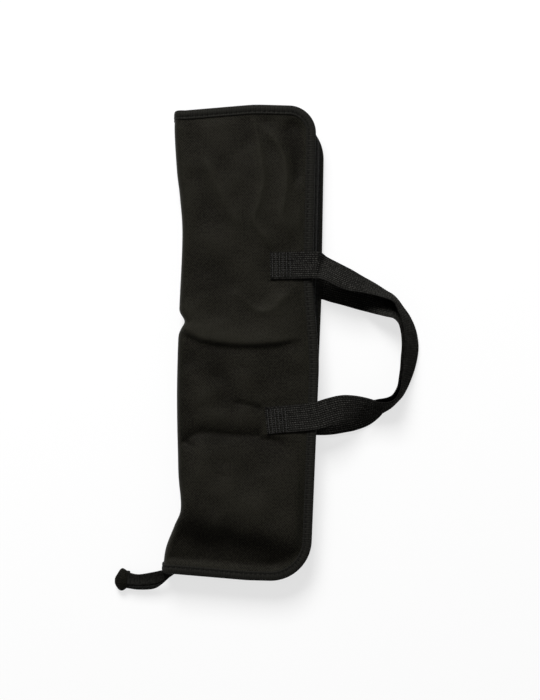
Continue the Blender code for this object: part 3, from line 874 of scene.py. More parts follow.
def padding_step(places):
    """The padding stops short of the bottom seam and the cover drops there: height, and how much painted shade
    the hollow gets.
    """
    away, share = from_line(places, smooth(PADDING_END, 30))
    step = PADDING_LEVEL + PADDING_DROP * np.tanh(away / PADDING_RUN)
    # Painted shade: the hollow at the padding's end is darkened, further below the line than above it
    painted_shade_mask = np.exp(-(away / np.where(away > 0, *HOLLOW_SHADE_REACH)) ** 2)
    return step * np.exp(-(np.maximum(away, 0) / PADDING_FADE) ** 2), painted_shade_mask


def crumple(places, size):
    """Slight unevenness of soft cloth: smooth random hills of a few widths."""
    draw = np.random.default_rng(CRUMPLE_SEED)
    height = np.zeros(len(places))
    for width, rise in CRUMPLE_SIZES.items():
        table = draw.uniform(-1, 1, (CRUMPLE_CELLS, CRUMPLE_CELLS))
        at = places / width + CRUMPLE_CELLS / 2
        cell = np.floor(at).astype(int)
        part = ease(at - cell)
        for step in ((0, 0), (0, 1), (1, 0), (1, 1)):
            weight = np.prod(np.where(step, part, 1 - part), axis=1)
            height += rise * weight * table[cell[:, 0] + step[0], cell[:, 1] + step[1]]
    return size * height


def hold_to_rim(side, places):
    """From 0 at the binding to 1 further in, so that relief stays off the seams."""
    rim = rims[side][::8]
    away = np.min(np.linalg.norm(places[:, None] - rim[None], axis=2), axis=1)
    return ease((away - RELIEF_START) / RELIEF_RUN)


print("creases on the front cover:", len(CREASES))

# %% [markdown]
# Now the two padded pieces are made. The grid gets its creases, then a thickness, then a level of
# subdivision that rounds what is left of its facets. The cloth is rubbed paler along the fold. Where it
# stands proud it gets a painted highlight, where it lies low painted shade, and the hollow where the padding
# ends gets painted shade too. On the spine the relief fades out, because there the two covers meet. Each
# piece stands for the shell, the foam and the spine's shell.

# %% Padded covers
CLOTH = 0.9
FLAT_AT_HANDLES = 4
# Relief height that gets the full painted light, the fold's real wear and its reach, then how strong the
# painted highlight and shade on the relief and the painted shade in the hollow are
RELIEF_LIGHT_FULL_AT = 2.0
FOLD_WEAR = 0.4
FOLD_WEAR_REACH = 3
RELIEF_PAINTED_LIGHT = 0.5
HOLLOW_PAINTED_SHADE = 0.8
BACK_CRUMPLE = 0.5
BACK_SINK = 0.4


def flat_under_handles(side, places):
    """0 under the sewn ends of a handle, 1 away from them."""
    free = np.ones(len(places))
    for left, right, low, high in SEWN[side]:
        x_out = np.maximum(left - places[:, 0], places[:, 0] - right)
        y_out = np.maximum(low - places[:, 1], places[:, 1] - high)
        free *= ease(np.maximum(x_out, y_out) / FLAT_AT_HANDLES)
    return free


def padded_cover(side):
    grid, cloth_at = swollen[side]
    places = grid[:, :, :2].reshape(-1, 2)
    on_cover = np.ones(grid.shape[:2])
    on_cover[:, :2 * FOLD_COLUMNS] = ease(np.linspace(0, 1, 2 * FOLD_COLUMNS))
    keep = hold_to_rim(side, places) * flat_under_handles(side, places) * on_cover.ravel()
    if side == "front":
        creased = crumple(places, 1.0) + crease_heights(places)
        step, painted_shade_mask = padding_step(places)
    else:
        creased = crumple(places, BACK_CRUMPLE)
        step, painted_shade_mask = -BACK_SINK, 0
    wear_and_painted_light = np.exp(-((places[:, 0] - fold_x(places[:, 1])) / FOLD_WEAR_REACH) ** 2) * FOLD_WEAR
    # Painted highlight where the cloth stands proud, painted shade where it lies low
    wear_and_painted_light += np.clip(creased / RELIEF_LIGHT_FULL_AT, -1, 1) * keep * RELIEF_PAINTED_LIGHT
    # Painted shade in the hollow where the padding ends
    wear_and_painted_light -= HOLLOW_PAINTED_SHADE * painted_shade_mask * keep
    relief = ((creased + step) * keep).reshape(grid.shape[:2])
    grid = grid + normals(grid) * relief[..., None]
    piece = skin(f"{side}_cover_cloth", grid, 0, CLOTH, outer_cloth, cloth_at, wear_and_painted_light)
    print(piece.name, "relief from", relief.min().round(1), "to", relief.max().round(1), "mm")
    return soften(piece)


covers = {side: padded_cover(side) for side in RIMS}
for side, piece in covers.items():
    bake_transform(piece)
    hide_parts(f"{side}_shell", f"{side}_foam", "spine_shell")

# %% [markdown]
# The lining is a thinner cloth inside each cover. It is one sheet with its half of the spine's lining, held
# flat by the bindings round it, with only slight waves. Its cut is nearly a rectangle, and its flat size is
# the grid's own: as long as the cover, and as wide as the cover and half of the spine.

# %% Linings
LINING = 0.8
LINING_RISE = MEETING - COVER + LINING / 2
LINING_INSET = 7
LINING_FOLD_INSET = 2.4
LINING_FOLD_WIDTH = 4
LINING_CRUMPLE = 0.3
LINING_WAVE = 0.1
for side in RIMS:
    grid, cloth_at = cover_grid(side, LINING_INSET, LINING_FOLD_INSET, LINING_FOLD_WIDTH, LINING_RISE,
                                GRID_ROWS, GRID_COLUMNS)
    places = grid[:, :, :2].reshape(-1, 2)
    waves = crumple(places, LINING_CRUMPLE) * hold_to_rim(side, places)
    relief = np.minimum(waves, LINING_WAVE).reshape(grid.shape[:2])
    grid = grid + normals(grid) * relief[..., None]
    piece = skin(f"{side}_lining_cloth", grid, LINING / 2, LINING / 2, lining_cloth, cloth_at)
    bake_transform(piece)
    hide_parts(f"{side}_lining", "spine_lining")

# %% [markdown]
# A ribbed tape is folded over the raw edge of each cover and sewn through all layers. It is a closed
# outline carried along the rim. At both ends it goes on round the fold and down the spine to meet the tape
# of the other cover. The tape puffs up a little between stitches, which is modelled and not painted. At
# each stitch along the seam the tape is painted darker, as painted shade in the dip.

# %% Bindings
STITCH_PITCH = 4.6
STITCH_LENGTH = 2.4
SEAM_AT = 6.5
# Distance in from the rim, and height above the cover's outer face
BINDING_OUTLINE = [
    (9, 0.05), (9.1, 0.5), (8.8, 0.85), (8.2, 0.95), (7.6, 0.85), (SEAM_AT + 0.4, 0.5), (SEAM_AT - 0.4, 0.5),
    (5.5, 0.95), (4.6, 1.1), (3.2, 1.1), (1.9, 0.85), (0.7, 0.25), (0.1, -0.9), (-0.1, -2.7), (0.1, -4.5),
    (0.7, -5.6), (1.9, -6.0), (3.6, -6.15), (5.4, -6.1), (SEAM_AT, -5.65), (7.6, -6.05), (8.8, -6.0),
    (9, -5.45), (8, -5.42), (3.4, -5.4), (2.3, -4.4), (2.3, -1), (3.4, -0.05), (8, -0.02)]
# Height of the seam on either face of the tape, and the way that it faces there
SEAM_FACES = ((0.56, 1), (-5.9, -1))
PUFF = 0.25
PUFF_REACH = 1.6
PUFF_FROM = 3
# Reach of the painted shade on either side of the seam
PAINTED_SHADE_AT_SEAM = 0.9
END_POINTS = 12


def rim_path(side):
    """Path of a binding from the spine's middle round the cover and back: places, inward and outward."""
    around = fold_profile(FOLD_WIDTH, MEETING, END_POINTS)
    along = unit(np.gradient(around, axis=0))
    rim = rims[side]
    inward = inward_of(rim)
    flat = rim[:, 0] > fold_x(rim[:, 1]) + FOLD_WIDTH + 0.5
    rim, inward = rim[flat], inward[flat]
    parts = []
    for end, order in ((0, 1), (-1, -1)):
        y = rim[end, 1]
        places = np.column_stack([fold_x(y) + around[:, 0], np.full(END_POINTS, y), around[:, 1]])
        outward = np.column_stack([-along[:, 1], np.zeros(END_POINTS), along[:, 0]])
        facing = np.tile([*inward[end], 0], (END_POINTS, 1)) * (0, 1, 0)
        parts.append([part[::order] for part in (places, unit(facing), outward)])
    flat_part = [lift(rim, MEETING), lift(inward, 0), np.tile([0.0, 0, 1], (len(rim), 1))]
    return [np.concatenate(rows) for rows in zip(parts[0], flat_part, parts[1])]


def edge_binding(side):
    places, inward, outward = rim_path(side)
    distance = walked(places)
    outline = np.array(BINDING_OUTLINE)
    puff = PUFF * np.abs(np.cos(math.pi * distance / STITCH_PITCH))[:, None]
    above_middle = outline[:, 1] + COVER / 2
    near_seam = np.exp(-((outline[:, 0] - SEAM_AT) / PUFF_REACH) ** 2) * np.sign(above_middle)
    height = outline[:, 1] + puff * near_seam * (np.abs(above_middle) > PUFF_FROM)
    # The back cover's tape has the same outline, turned upside down
    turned = np.array([1, 1, TOWARDS[side]])
    middle = np.array([0, 0, MEETING])
    section = places[:, None] + inward[:, None] * outline[None, :, :1] + outward[:, None] * height[..., None]
    section = section[::TOWARDS[side]] * turned + middle
    seams = []
    for level, facing in SEAM_FACES:
        line = places + inward * SEAM_AT + outward * level
        seams.append((line * turned + middle, outward * facing * turned))
    # Painted shade: the tape is darker along the seam where each stitch pulls it in
    painted_shade_mask = np.sin(math.pi * distance / STITCH_PITCH)[:, None] ** 2
    painted_light_and_wear = 1 - np.exp(-((outline[:, 0] - SEAM_AT) / PAINTED_SHADE_AT_SEAM) ** 2) * painted_shade_mask
    piece = carried(f"{side}_binding_tape", section, edge_tape, distance, painted_light_and_wear)
    rows = [stitch_row(line, normal, STITCH_PITCH, STITCH_LENGTH) for line, normal in seams]
    sewn = stitches(f"{side}_binding_stitches", rows, seam_thread)
    return piece, sewn


for side in RIMS:
    piece, sewn = edge_binding(side)
    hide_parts(f"{side}_binding", "spine_binding_top", "spine_binding_bottom")
    for made in (piece, sewn):
        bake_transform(made)

# %% [markdown]
# The zip is a coil zip sewn between the two bindings with its coils on the inside, so outside only the two
# woven tapes show, meeting in a fine raised bead. Each tape slopes from its seam to the meeting line, and its
# outline is worked out at every point from the seam's distance there.

# %% Zip tapes
ZIP_PATH = [(-71, 216.2, 0), (62.6, 216.2, 30), (62.8, -219.4, 28), (-71, -219.4, 0)]
ZIP_END_X = -62
SEAM_INSET = {"front": 5, "back": 3}
ZIP_POINTS = 420
# Share of the way to the seam, distance inward, and height above the meeting line
TAPE_OUTLINE = [
    (1, 0, 5.85), (0.8, 0, 5.6), (0.5, 0, 5.0), (0.2, 0, 4.3), (0.04, 0, 3.3), (0, 0, 2.2), (0, 0, 1.3),
    (0, -0.4, 1.05), (0, -0.55, 0.65), (0, -0.45, 0.3), (0, 0.1, 0.12), (0, 0.8, 0.2), (0, 0.8, 1.3),
    (0, 0.8, 2.3), (0.05, 0.8, 3.0), (0.2, 0.6, 3.6), (0.5, 0.2, 4.3), (0.8, 0, 4.85), (1, 0, 5.05)]
zip_line = rounded(ZIP_PATH, 1000)
zip_line = even(zip_line[zip_line[:, 0] > ZIP_END_X], ZIP_POINTS)
zip_inward = inward_of(zip_line)
# Along the zip side the front tape stands up in a roll beside the binding. It grows between two places in x
# and between two heights of the outline, and is gone again between two shares of the way to the seam
ROLL_HEIGHT = 2.6
ROLL_FROM = (35, 60)
ROLL_LEVELS = (1.3, 3.3)
ROLL_SHARES = (0.25, 0.45)


def zip_tape(side):
    seam = inset(rims[side], SEAM_INSET[side])
    seam = even(seam[seam[:, 0] > ZIP_END_X], ZIP_POINTS)
    share, step, height = np.array(TAPE_OUTLINE).T
    flat = (zip_line[:, None] + (seam - zip_line)[:, None] * share[None, :, None]
            + zip_inward[:, None] * step[None, :, None])
    roll = ease((zip_line[:, :1] - ROLL_FROM[0]) / (ROLL_FROM[1] - ROLL_FROM[0])) * (side == "front")
    risen = np.interp(height, ROLL_LEVELS, (0, 1)) * np.interp(share, ROLL_SHARES, (1, 0))
    rolled = height + ROLL_HEIGHT * roll * risen
    outline = np.dstack([flat, MEETING + TOWARDS[side] * rolled])
    if side == "front":
        outline = outline[:, ::-1]
    return carried(f"{side}_zip_tape_cloth", outline, zip_tape_painted_lighter, walked(zip_line))


for side in RIMS:
    piece = zip_tape(side)
    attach(piece, f"{side}_cover")
    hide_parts(f"{side}_zip_tape")
print("zip length:", walked(zip_line)[-1].round(), "mm")

# %% [markdown]
# The coil itself is a nylon thread wound like a spring along each tape. It is the inside of the zip, seen
# when the bag is open. Its turns come from an angle that grows along the tape, and the small metal stops at
# the closed end keep their solids' shape with a metal finish.

# %% Zip coils
COIL_RADIUS = 0.8
COIL_WIRE = 0.3
COIL_PITCH = 2.0
COIL_START_X = -50
COIL_INSET = 1.9
COIL_GAP = 0.5
COIL_TURN_POINTS = 7
COIL_SIDES = 5


def zip_coil(side):
    spine_line = inset(zip_line, COIL_INSET)
    spine_line = spine_line[(spine_line[:, 0] > COIL_START_X) | (spine_line[:, 1] < 0)]
    turns = int(walked(spine_line)[-1] / COIL_PITCH)
    middle = even(spine_line, turns * COIL_TURN_POINTS)
    inward = lift(inward_of(middle), 0)
    along = lift(unit(np.gradient(middle, axis=0)), 0)
    angle = np.arange(len(middle)) * 2 * math.pi / COIL_TURN_POINTS
    up = np.array([0, 0, 1.0])
    out = inward * np.cos(angle)[:, None] + up * np.sin(angle)[:, None]
    level = MEETING + TOWARDS[side] * (COIL_GAP + COIL_RADIUS)
    centre = lift(middle, level) + out * (COIL_RADIUS - COIL_WIRE)
    ring = np.linspace(0, 2 * math.pi, COIL_SIDES, endpoint=False)
    outline = centre[:, None] + COIL_WIRE * (
        out[:, None] * np.cos(ring)[None, :, None] + along[:, None] * np.sin(ring)[None, :, None])
    print(side, "coil has", turns, "turns")
    return carried(f"{side}_coil_winding", outline, coil_nylon, walked(centre))


for side in RIMS:
    piece = zip_coil(side)
    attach(piece, f"{side}_cover")
    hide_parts(f"{side}_zip_coil")
    frame["nodes"][f"{side}_zip_stop"].data.materials.clear()
    frame["nodes"][f"{side}_zip_stop"].data.materials.append(black_metal)

# %% [markdown]
# The slider has two shield plates, one outside and one inside, joined by a web that runs between the tapes.
# The plates are outlines given a thickness and a bevel, which catches the light as a die casting does. The
# bail is a bent wire, and the puller a flat plate with an eye for the bail and a few ribs to grip.

# %% Slider, bail and puller
SLIDER_X = -44
SLIDER_SHIELD = [(-5.5, 0), (-5.2, 1.9), (-4, 3), (-2.4, 3.2), (0.5, 3.1), (3.4, 2.5), (5.1, 1.9), (5.5, 0)]
SLIDER_LEVELS = {"outer": (216.5, 218.1, 1.0), "inner": (211.8, 213.2, 0.8)}
PULL_PIVOT = (-44, 219.8, 12)
BAIL_RADIUS = 2.3
BAIL_WIRE = 0.6
BAIL_FOOT = 218.2
PULLER = {"near": -1.4, "far": 22.6, "half": 3.2, "corner": 1.4}
PULLER_EYE = {"near": 0.8, "far": 5.6, "half": 2.0, "corner": 0.9}
PULLER_THICK = 1.0
PULLER_RIBS = (11, 13.5, 16, 18.5)
RIB_HEIGHT = 0.25
SLIDER_WEB = (4.6, 0.2)
SLIDER_BEVEL = 0.3
PULLER_BEVEL = 0.22
OVERLAP = 0.2


def slabs(name, blocks, bevel):
    """One metal piece from closed blocks: each a list of rings of places from front to back."""
    places, faces, start = [], [], 0
    for rings in blocks:
        rings = np.asarray(rings, float)
        count = rings.shape[1]
        numbers = np.arange(rings.shape[0] * count).reshape(rings.shape[0], count) + start
        faces += quads(np.column_stack([numbers, numbers[:, 0]]))
        if not np.allclose(rings[0], rings[-1]):
            faces += [numbers[0].tolist()[::-1], numbers[-1].tolist()]
        places.append(rings.reshape(-1, 3))
        start += rings.shape[0] * count
    piece = new_piece(name, np.concatenate(places), faces, black_metal)
    shape = bmesh.new()
    shape.from_mesh(piece.data)
    bmesh.ops.remove_doubles(shape, verts=shape.verts, dist=0.01 * MM)
    bmesh.ops.recalc_face_normals(shape, faces=shape.faces)
    shape.to_mesh(piece.data)
    shape.free()
    piece.data.set_sharp_from_angle(angle=math.radians(35))
    edge = piece.modifiers.new("edge", "BEVEL")
    edge.width = bevel * MM
    edge.segments = 2
    edge.limit_method = "ANGLE"
    edge.angle_limit = math.radians(40)
    return piece


def upright(outline, y):
    """A flat outline of x and z as places at one y."""
    outline = np.asarray(outline, float)
    return np.column_stack([outline[:, 0], np.full(len(outline), y), outline[:, 1]])


def zip_slider():
    half = smooth(SLIDER_SHIELD, 22)
    shield = np.vstack([half, (half * (1, -1))[::-1][1:-1]])
    blocks = []
    for low, high, size in SLIDER_LEVELS.values():
        outline = shield * (size, size) + (SLIDER_X, MEETING)
        blocks.append([upright(outline, low), upright(outline, high)])
    web = np.array([(-1, -1), (1, -1), (1, 1), (-1, 1)]) * SLIDER_WEB + (SLIDER_X, MEETING)
    low = SLIDER_LEVELS["inner"][1] - OVERLAP
    high = SLIDER_LEVELS["outer"][0] + OVERLAP
    blocks.append([upright(web, low), upright(web, high)])
    return slabs("slider_body", blocks, SLIDER_BEVEL)


def bail():
    turn = np.linspace(0, math.pi, 17)
    arch = np.column_stack([np.cos(turn), np.sin(turn)]) * BAIL_RADIUS + PULL_PIVOT[:2]
    feet = [(arch[end, 0], BAIL_FOOT) for end in (0, -1)]
    path = np.vstack([feet[0], arch, feet[1]])
    out = lift(inward_of(path), 0)
    ring = np.linspace(0, 2 * math.pi, 10, endpoint=False)
    outline = lift(path, PULL_PIVOT[2])[:, None] + BAIL_WIRE * (
        out[:, None] * np.cos(ring)[None, :, None] + np.array([0, 0, 1.0]) * np.sin(ring)[None, :, None])
    return carried("bail_wire", outline, black_metal, walked(path))


def round_box(near, far, half, corner, count):
    """Closed outline of a plate with round corners."""
    turns = [(near, half), (far, half), (far, -half), (near, -half)]
    rows = [(near, 0, 0), *[(x, y, corner) for x, y in turns], (near, 0, 0)]
    return rounded(rows, count + 1)[:-1]


def puller():
    pivot = (PULL_PIVOT[0], PULL_PIVOT[2])
    body = round_box(**PULLER, count=64) + pivot
    eye = round_box(**PULLER_EYE, count=64) + pivot
    low = PULL_PIVOT[1] - PULLER_THICK / 2
    high = PULL_PIVOT[1] + PULLER_THICK / 2
    around = [(body, low), (body, high), (eye, high), (eye, low), (body, low)]
    blocks = [[upright(outline, level) for outline, level in around]]
    for x in PULLER_RIBS:
        rib = round_box(x - 0.5, x + 0.5, 2.0, 0.45, 24) + pivot
        blocks.append([upright(rib, high - OVERLAP), upright(rib, high + RIB_HEIGHT)])
    return slabs("puller_plate", blocks, PULLER_BEVEL)


for piece, body, node in ((zip_slider(), "zip_slider", "zip_slider"), (bail(), "zip_slider", "slider_bail"),
                          (puller(), "zip_puller", "zip_puller")):
    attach(piece, body)
    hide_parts(node)
    print(piece.name, "rides on", body)

# %% [markdown]
# At the lower corner the zip runs on past the bag as a loose tail, so that the bag can open flat. Its two
# tapes stay joined along the bead and curl over to one side, and a scrap of cloth is folded over the cut end
# and sewn down. Each tape is a skin over a grid between the bead and its free edge, bowed a little across.

# %% Zip tail
# Place of the bead, then the lean in degrees and the width of the front tape, and those of the back tape
ZIP_TAIL = [(-62.3, -220, 12, 80, 5.4, -90, 5.7), (-69, -225, 12, 40, 8, -96, 6),
            (-76, -229.8, 11.5, 18, 11.6, -110, 8), (-84.5, -233.2, 10, 2, 12, -120, 10),
            (-99, -234.6, 9, -12, 10.6, -120, 10), (-110, -234.3, 8, -10, 12, -118, 9)]
TAIL_STATIONS = 70
TAIL_ACROSS = 9
TAIL_TAPE = 0.8
TAIL_BOW = 0.9
BEAD_HEIGHT = 0.35
# Mark that sets the tab's cloth darker than the covers' cloth
TAB_TONE_DOWN = -0.5
# Place along the tab: x, then middle and half of its width, and half of its thickness
TAB_STATIONS = [(-107.4, -229.6, 7.4, 2.6), (-108.4, -229.7, 8.2, 3.3), (-109.8, -229.8, 8.4, 2.9),
                (-110.8, -229.9, 8.6, 3.3), (-113, -230.0, 10.2, 3.7), (-115.4, -230.0, 10.8, 3.6),
                (-117.6, -230.6, 9.4, 3.2), (-119.6, -231.2, 6.6, 2.7), (-121.2, -231.4, 4.0, 2.0),
                (-121.9, -231.4, 2.2, 1.2)]
TAB_HEIGHT = 3.2
TAB_ROWS = 34
TAB_SIDES = 40
TAB_PLEAT = 0.16
NECK_PLACE = (-109.6, -229.8)
NECK_HALF = (8.6, 3.1)
NECK_CENTRE = -6
NECK_PITCH = 3.0
NECK_STITCH = 2.2


def tail_tape(side):
    line = smooth(ZIP_TAIL, TAIL_STATIONS)
    first = 3 if side == "front" else 5
    lean = np.radians(line[:, first])
    across = np.column_stack([np.zeros(len(line)), np.cos(lean), np.sin(lean)])
    share = np.linspace(0.02, 1, TAIL_ACROSS)
    ahead = unit(np.gradient(line[:, :3], axis=0))
    bow = np.cross(across, ahead) * (-1 if side == "front" else 1)
    grid = (line[:, None, :3] + across[:, None] * (line[:, first + 1, None] * share)[..., None]
            + bow[:, None] * (TAIL_BOW * np.sin(math.pi * share))[None, :, None])
    if side == "front":
        grid = grid[:, ::-1]
    bead = BEAD_HEIGHT * np.exp(-((share - 0.06) / 0.07) ** 2)
    thick = TAIL_TAPE / 2 + (bead[::-1] if side == "front" else bead)
    cloth_at = np.stack(np.broadcast_arrays(walked(line)[:, None], line[:, first + 1, None] * share), axis=-1)
    return skin(f"tail_{side}_tape_cloth", grid, thick[None], thick[None], tail_cloth, cloth_at)


def end_tab():
    """Folded scrap of cloth over the end: round sections with a pinched, sewn neck."""
    rows = smooth(TAB_STATIONS, TAB_ROWS)
    turn = np.linspace(0, 2 * math.pi, TAB_SIDES, endpoint=False)
    wide = np.sign(np.cos(turn)) * np.abs(np.cos(turn)) ** 0.75
    high = np.sign(np.sin(turn)) * np.abs(np.sin(turn)) ** 0.8
    pleat = 1 + TAB_PLEAT * np.cos(3 * turn + 0.6)
    outline = np.dstack([np.broadcast_to(rows[:, :1], (TAB_ROWS, TAB_SIDES)),
                         rows[:, 1:2] + rows[:, 2:3] * wide,
                         TAB_HEIGHT + rows[:, 3:4] * high * pleat])
    return carried("end_tab_cloth", outline, outer_cloth, walked(rows), TAB_TONE_DOWN)


def neck_seam():
    """Stitches over the pinched neck of the tab."""
    x, y = NECK_PLACE
    wide, high = NECK_HALF
    line = np.array([(x, y + wide * math.cos(turn), TAB_HEIGHT + high * math.sin(turn))
                     for turn in np.linspace(0.2, math.pi - 0.2, 30)])
    facing = unit(line - (x, y, NECK_CENTRE))
    return stitches("end_tab_stitches", [stitch_row(line, facing, NECK_PITCH, NECK_STITCH)], seam_thread)


for side in RIMS:
    piece = tail_tape(side)
    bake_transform(piece)
    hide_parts(f"zip_tail_{side}_tape")
tab = end_tab()
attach(tab, "zip_tail")
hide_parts("zip_end_tab")
neck_stitches = neck_seam()
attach(neck_stitches, "zip_tail")

# %% [markdown]
# The handles are the part of the bag that shows its make most clearly: coarse webbing, woven with short
# floats that lie in ribs across the strap and step a little from row to row. Webbing is stiff, flat and of
# one width, so it isn't simulated: it is a ribbon along a route, and how far its outer edge tips down, in
# degrees, is a fourth number of the route. A ribbon that tips also curls a little across its width. The
# floats are real bumps in the mesh. Each float is rubbed paler by its own random amount, and its tone also
# follows the bumps: tops painted lighter, gaps and stitch lines painted darker, as painted shade.

# %% Webbing
WEBBING_WIDTH = 26
WEBBING = 1.5
FLOAT_ROWS = 13
FLOAT_LENGTH = 2.3
FLOAT_SHIFT = 0.5 * math.pi
FLOAT_HEIGHT = 0.34
FLOAT_SEED = 5
CURL = math.radians(10)
STRAP_STEP = 0.56
STRAP_COLUMNS = 53
ROUTES = {
    "front": [(19, 73.4, 25.15, 0), (30, 74, 25.15, 0), (40, 74.5, 25.2, 0), (48, 74.9, 26.2, 0),
              (55, 75.2, 27.6, 0), (60, 75.4, 28.4, 0), (62.8, 75.3, 28.5, 1), (64.6, 74.9, 27.6, 7),
              (66, 74.6, 25.8, 16), (68.2, 74, 24.4, 26), (72.5, 72.6, 23.9, 33), (78, 70.2, 23.3, 34),
              (88, 65.5, 22, 34), (95, 62.8, 20.8, 37), (106, 59.5, 18, 50), (118, 55.6, 14.6, 61),
              (129.5, 50.8, 12.6, 71), (136, 47.8, 12, 74), (140.6, 44, 11.6, 76), (145.3, 36.8, 11.2, 72),
              (150.2, 28.6, 10.9, 66), (154, 19.4, 10.7, 61), (156.2, 10, 10.6, 57), (157.2, 0, 10.6, 55.5),
              (156.4, -10, 10.6, 56), (155, -20.6, 10.8, 61), (152.4, -31.6, 11.1, 67),
              (150.2, -39.4, 11.4, 73), (147.2, -45.8, 11.6, 76), (143.2, -51.2, 11.7, 79),
              (137.2, -56.1, 11.8, 74), (129.7, -59, 12.6, 64),
              (122.5, -60.6, 14.8, 50), (110.9, -60, 18, 32), (99, -59.6, 21.6, 14), (90, -60.1, 24, 5),
              (79, -63, 25.6, 1), (69.2, -66.4, 26.4, 0), (60, -68.4, 26.6, 0), (51, -69.6, 25.9, 0),
              (42, -70.6, 25.2, 0), (30, -72, 25.15, 0), (19, -73.4, 25.15, 0)],
    "back": [(19, 57, -1.0, 0), (45, 57, -1.0, 0), (69.2, 57, -1.0, 0), (82, 54, -0.9, 0),
             (94.7, 51, -0.5, 0.5), (107, 47.6, 1.4, 8), (119, 44, 4.6, 22), (132, 38.4, 8.4, 45),
             (141, 33.8, 10, 58),
             (147, 26.8, 10.6, 65), (151.2, 18.4, 10.2, 61), (153.6, 9.4, 9.9, 57), (154.4, 0, 9.7, 55.5),
             (153.6, -10, 9.7, 56.5), (152.2, -20, 10.2, 61), (149.7, -30.6, 10.6, 67), (147.4, -38, 11, 72),
             (144.3, -44.2, 11.2, 74), (140.3, -49.1, 11.2, 75), (135, -53.2, 10.6, 69),
             (128.6, -57.2, 9.2, 56),
             (122.4, -61, 6.8, 40), (112.4, -65.4, 3, 19), (100.2, -69.2, 0.2, 4), (95.6, -70.2, -0.3, 2),
             (81.5, -73, -0.8, 0.5), (69.2, -73.8, -1.0, 0), (45, -73.8, -1.0, 0), (19, -74, -1.0, 0)],
}
STITCH_ROWS = [2.2, 5.6, 9.0, 12.4, 15.8, 19.2]
HANDLE_PITCH = 2.6
HANDLE_STITCH = 2.1
PULLED_IN = 0.3
PULL_WIDTH = 0.6
RUB_RANGE = (0.45, 1.5)
# How far the floats stand out on the underside: the back handle's are pressed flat, where the bag lies on them
FLOATS_BELOW = {"front": 0.34, "back": 0.1}


def ribbon(side):
    """Grid of a handle along its route, with the distance along and across it."""
    rough_line = smooth(ROUTES[side], 400)
    length = walked(rough_line)[-1]
    line = smooth(ROUTES[side], int(length / STRAP_STEP))
    along = unit(np.gradient(line[:, :3], axis=0))
    outward = unit(np.column_stack([-along[:, 1], along[:, 0], np.zeros(len(line))]))
    across = np.linspace(WEBBING_WIDTH / 2, -WEBBING_WIDTH / 2, STRAP_COLUMNS)
    tip = np.radians(line[:, 3:4])
    lean = tip + CURL * np.sin(2 * tip) * across / across[0] / 2
    out = across * np.cos(lean)
    down = across * np.sin(lean)
    grid = line[:, None, :3] + outward[:, None] * out[..., None]
    grid[:, :, 2] -= down
    return grid, walked(line), across


def float_relief(distance, across):
    """Bumps of the woven floats, in ribs across the strap that step from row to row."""
    row_width = WEBBING_WIDTH / FLOAT_ROWS
    row = np.floor(across / row_width + 0.5)
    ridge = np.clip(np.cos(2 * math.pi * across / row_width), 0, 1) ** 0.7
    step = 0.5 + 0.5 * np.cos(2 * math.pi * distance[:, None] / FLOAT_LENGTH + FLOAT_SHIFT * (row[None] % 2))
    selvage = 1 - (np.abs(across) / (WEBBING_WIDTH / 2)) ** 12
    return FLOAT_HEIGHT * ridge[None] * step * selvage[None]


def rubbed_floats(distance, across):
    """How pale each float is: no two of them are rubbed alike."""
    float_number = (distance / FLOAT_LENGTH + 0.5).astype(int)
    row_number = np.floor(across * FLOAT_ROWS / WEBBING_WIDTH + 0.5).astype(int) + FLOAT_ROWS
    draw = np.random.default_rng(FLOAT_SEED)
    table = draw.uniform(*RUB_RANGE, (float_number.max() + 1, row_number.max() + 1))
    return table[float_number[:, None], row_number[None]]


def handle(side):
    grid, distance, across = ribbon(side)
    from_end = np.minimum(distance, distance[-1] - distance)
    floats = float_relief(distance, across)
    for row in STITCH_ROWS:
        floats -= PULLED_IN * np.exp(-((from_end - row) / PULL_WIDTH) ** 2)[:, None]
    edge = 1 - (np.abs(across) / (WEBBING_WIDTH / 2)) ** 16 * 0.6
    upper = (WEBBING / 2 * edge)[None] + floats
    lower = (WEBBING / 2 * edge)[None] + np.minimum(floats, FLOATS_BELOW[side])
    cloth_at = np.stack(np.broadcast_arrays(distance[:, None], across[None]), axis=-1)
    # Painted shade from the relief, times the real random rubbing of each float
    wear_and_painted_light = np.clip(floats / FLOAT_HEIGHT, 0, 1) * rubbed_floats(distance, across)
    piece = skin(f"{side}_handle_webbing", grid, upper, lower, strap_webbing, cloth_at, wear_and_painted_light)
    facing = normals(grid) * TOWARDS[side]
    rows = []
    for row in STITCH_ROWS:
        for from_tip in (distance, distance[-1] - distance):
            station = np.argmin(np.abs(from_tip - row))
            line = grid[station] + facing[station] * (WEBBING / 2 + 0.02)
            rows.append(stitch_row(line[1:-1], facing[station][1:-1], HANDLE_PITCH, HANDLE_STITCH))
    print(piece.name, "is", distance[-1].round(), "mm long")
    return piece, stitches(f"{side}_handle_stitches", rows, handle_thread)


for side in RIMS:
    piece, sewn = handle(side)
    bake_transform(piece)
    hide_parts(f"{side}_handle", f"{side}_handle_upper_end", f"{side}_handle_lower_end")
    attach(sewn, f"{side}_cover")

# %% [markdown]
# Inside, a sheet of lining cloth is sewn to the back cover in lines, which leaves three channels for sticks.
# It is cut wider than its place, so each channel stands up round. The mouth is bound with the same tape as
# the covers. The rows of the grid follow a rounded sine, and close at the bottom.

# %% Stick pocket
CHANNELS = 3
CHANNEL_WIDTH = 34
CHANNEL_HEIGHT = 6.7
POCKET_BASE = COVER + 0.3
POCKET_BOTTOM = -205
POCKET_CLOSING = 14
POCKET_MOUTH = 50
POCKET_STEP = 3
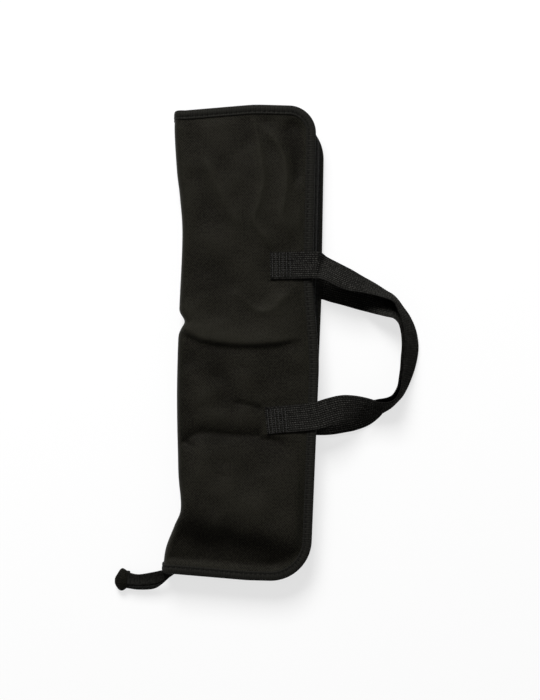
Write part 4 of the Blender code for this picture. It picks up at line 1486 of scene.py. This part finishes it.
# Place along the bag, and thickness of the mouth's tape there
MOUTH_LEVELS = [(50.3, 0.9), (50.6, 1.5), (54, 1.6), (57.4, 1.5), (58.1, 1.2), (58.4, 0.6)]
MOUTH_SEAM = 52.5
MOUTH_SEAM_LIFT = 1.65
OUTER_SEAM_X = 50.4
across_channels = np.linspace(0, CHANNELS, CHANNELS * 16 + 1)


def pocket_row(y, share):
    """One row of places over the channels, with a slack wave along them."""
    rise = np.abs(np.sin(math.pi * across_channels)) ** 0.55
    slack = 1 - 0.1 * share * (0.5 + 0.5 * np.sin(y / 17 + 2.1 * np.floor(across_channels)))
    x = (across_channels - CHANNELS / 2) * CHANNEL_WIDTH
    return np.column_stack([x, np.full(len(x), y), POCKET_BASE + CHANNEL_HEIGHT * share * rise * slack])


def stick_pocket():
    closing = np.linspace(0, 1, 9)
    rows = [pocket_row(POCKET_BOTTOM + POCKET_CLOSING * part, math.sin(math.pi / 2 * part))
            for part in closing]
    first = POCKET_BOTTOM + POCKET_CLOSING + POCKET_STEP
    rows += [pocket_row(y, 1) for y in np.arange(first, POCKET_MOUTH, POCKET_STEP)]
    rows += [pocket_row(POCKET_MOUTH + 2, 1)]
    grid = np.stack(rows)
    around = walked(grid[-1])
    cloth_at = np.stack(np.broadcast_arrays(around[None], grid[:, :, 1]), axis=-1)
    piece = skin("stick_pocket_cloth", grid, LINING, 0, lining_cloth, cloth_at)
    return piece, (around[-1] * MM, np.ptp(grid[:, :, 1]) * MM)


def pocket_mouth():
    grid = np.stack([pocket_row(y, 1) for y, thick in MOUTH_LEVELS])
    thick = np.array([thick for y, thick in MOUTH_LEVELS])[:, None]
    cloth_at = np.stack(np.broadcast_arrays(walked(grid[-1])[None], grid[:, :, 1]), axis=-1)
    return skin("pocket_mouth_binding", grid, thick, 0, edge_tape, cloth_at)


def pocket_stitches():
    rows = []
    up = np.array([0, 0, 1.0])
    for seam in range(CHANNELS + 1):
        x = np.clip((seam - CHANNELS / 2) * CHANNEL_WIDTH, -OUTER_SEAM_X, OUTER_SEAM_X)
        line = np.array([(x, y, POCKET_BASE + 1.0) for y in (POCKET_BOTTOM + 3, POCKET_MOUTH)])
        rows.append(stitch_row(line, np.tile(up, (2, 1)), STITCH_PITCH, STITCH_LENGTH))
    mouth = pocket_row(MOUTH_SEAM, 1)
    facing = normals(np.stack([pocket_row(MOUTH_SEAM + step, 1) for step in (-1.5, 1.5)]))[0]
    rows.append(stitch_row(mouth + facing * MOUTH_SEAM_LIFT, facing, STITCH_PITCH, STITCH_LENGTH))
    return stitches("pocket_stitches", rows, seam_thread)


pocket, pocket_cut = stick_pocket()
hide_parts("stick_pocket")
mouth_tape = pocket_mouth()
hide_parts("pocket_binding")
seams = pocket_stitches()
for piece in (pocket, mouth_tape, seams):
    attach(piece, "back_cover")
print("pocket cloth cut to", np.round(pocket_cut, 3), "m")
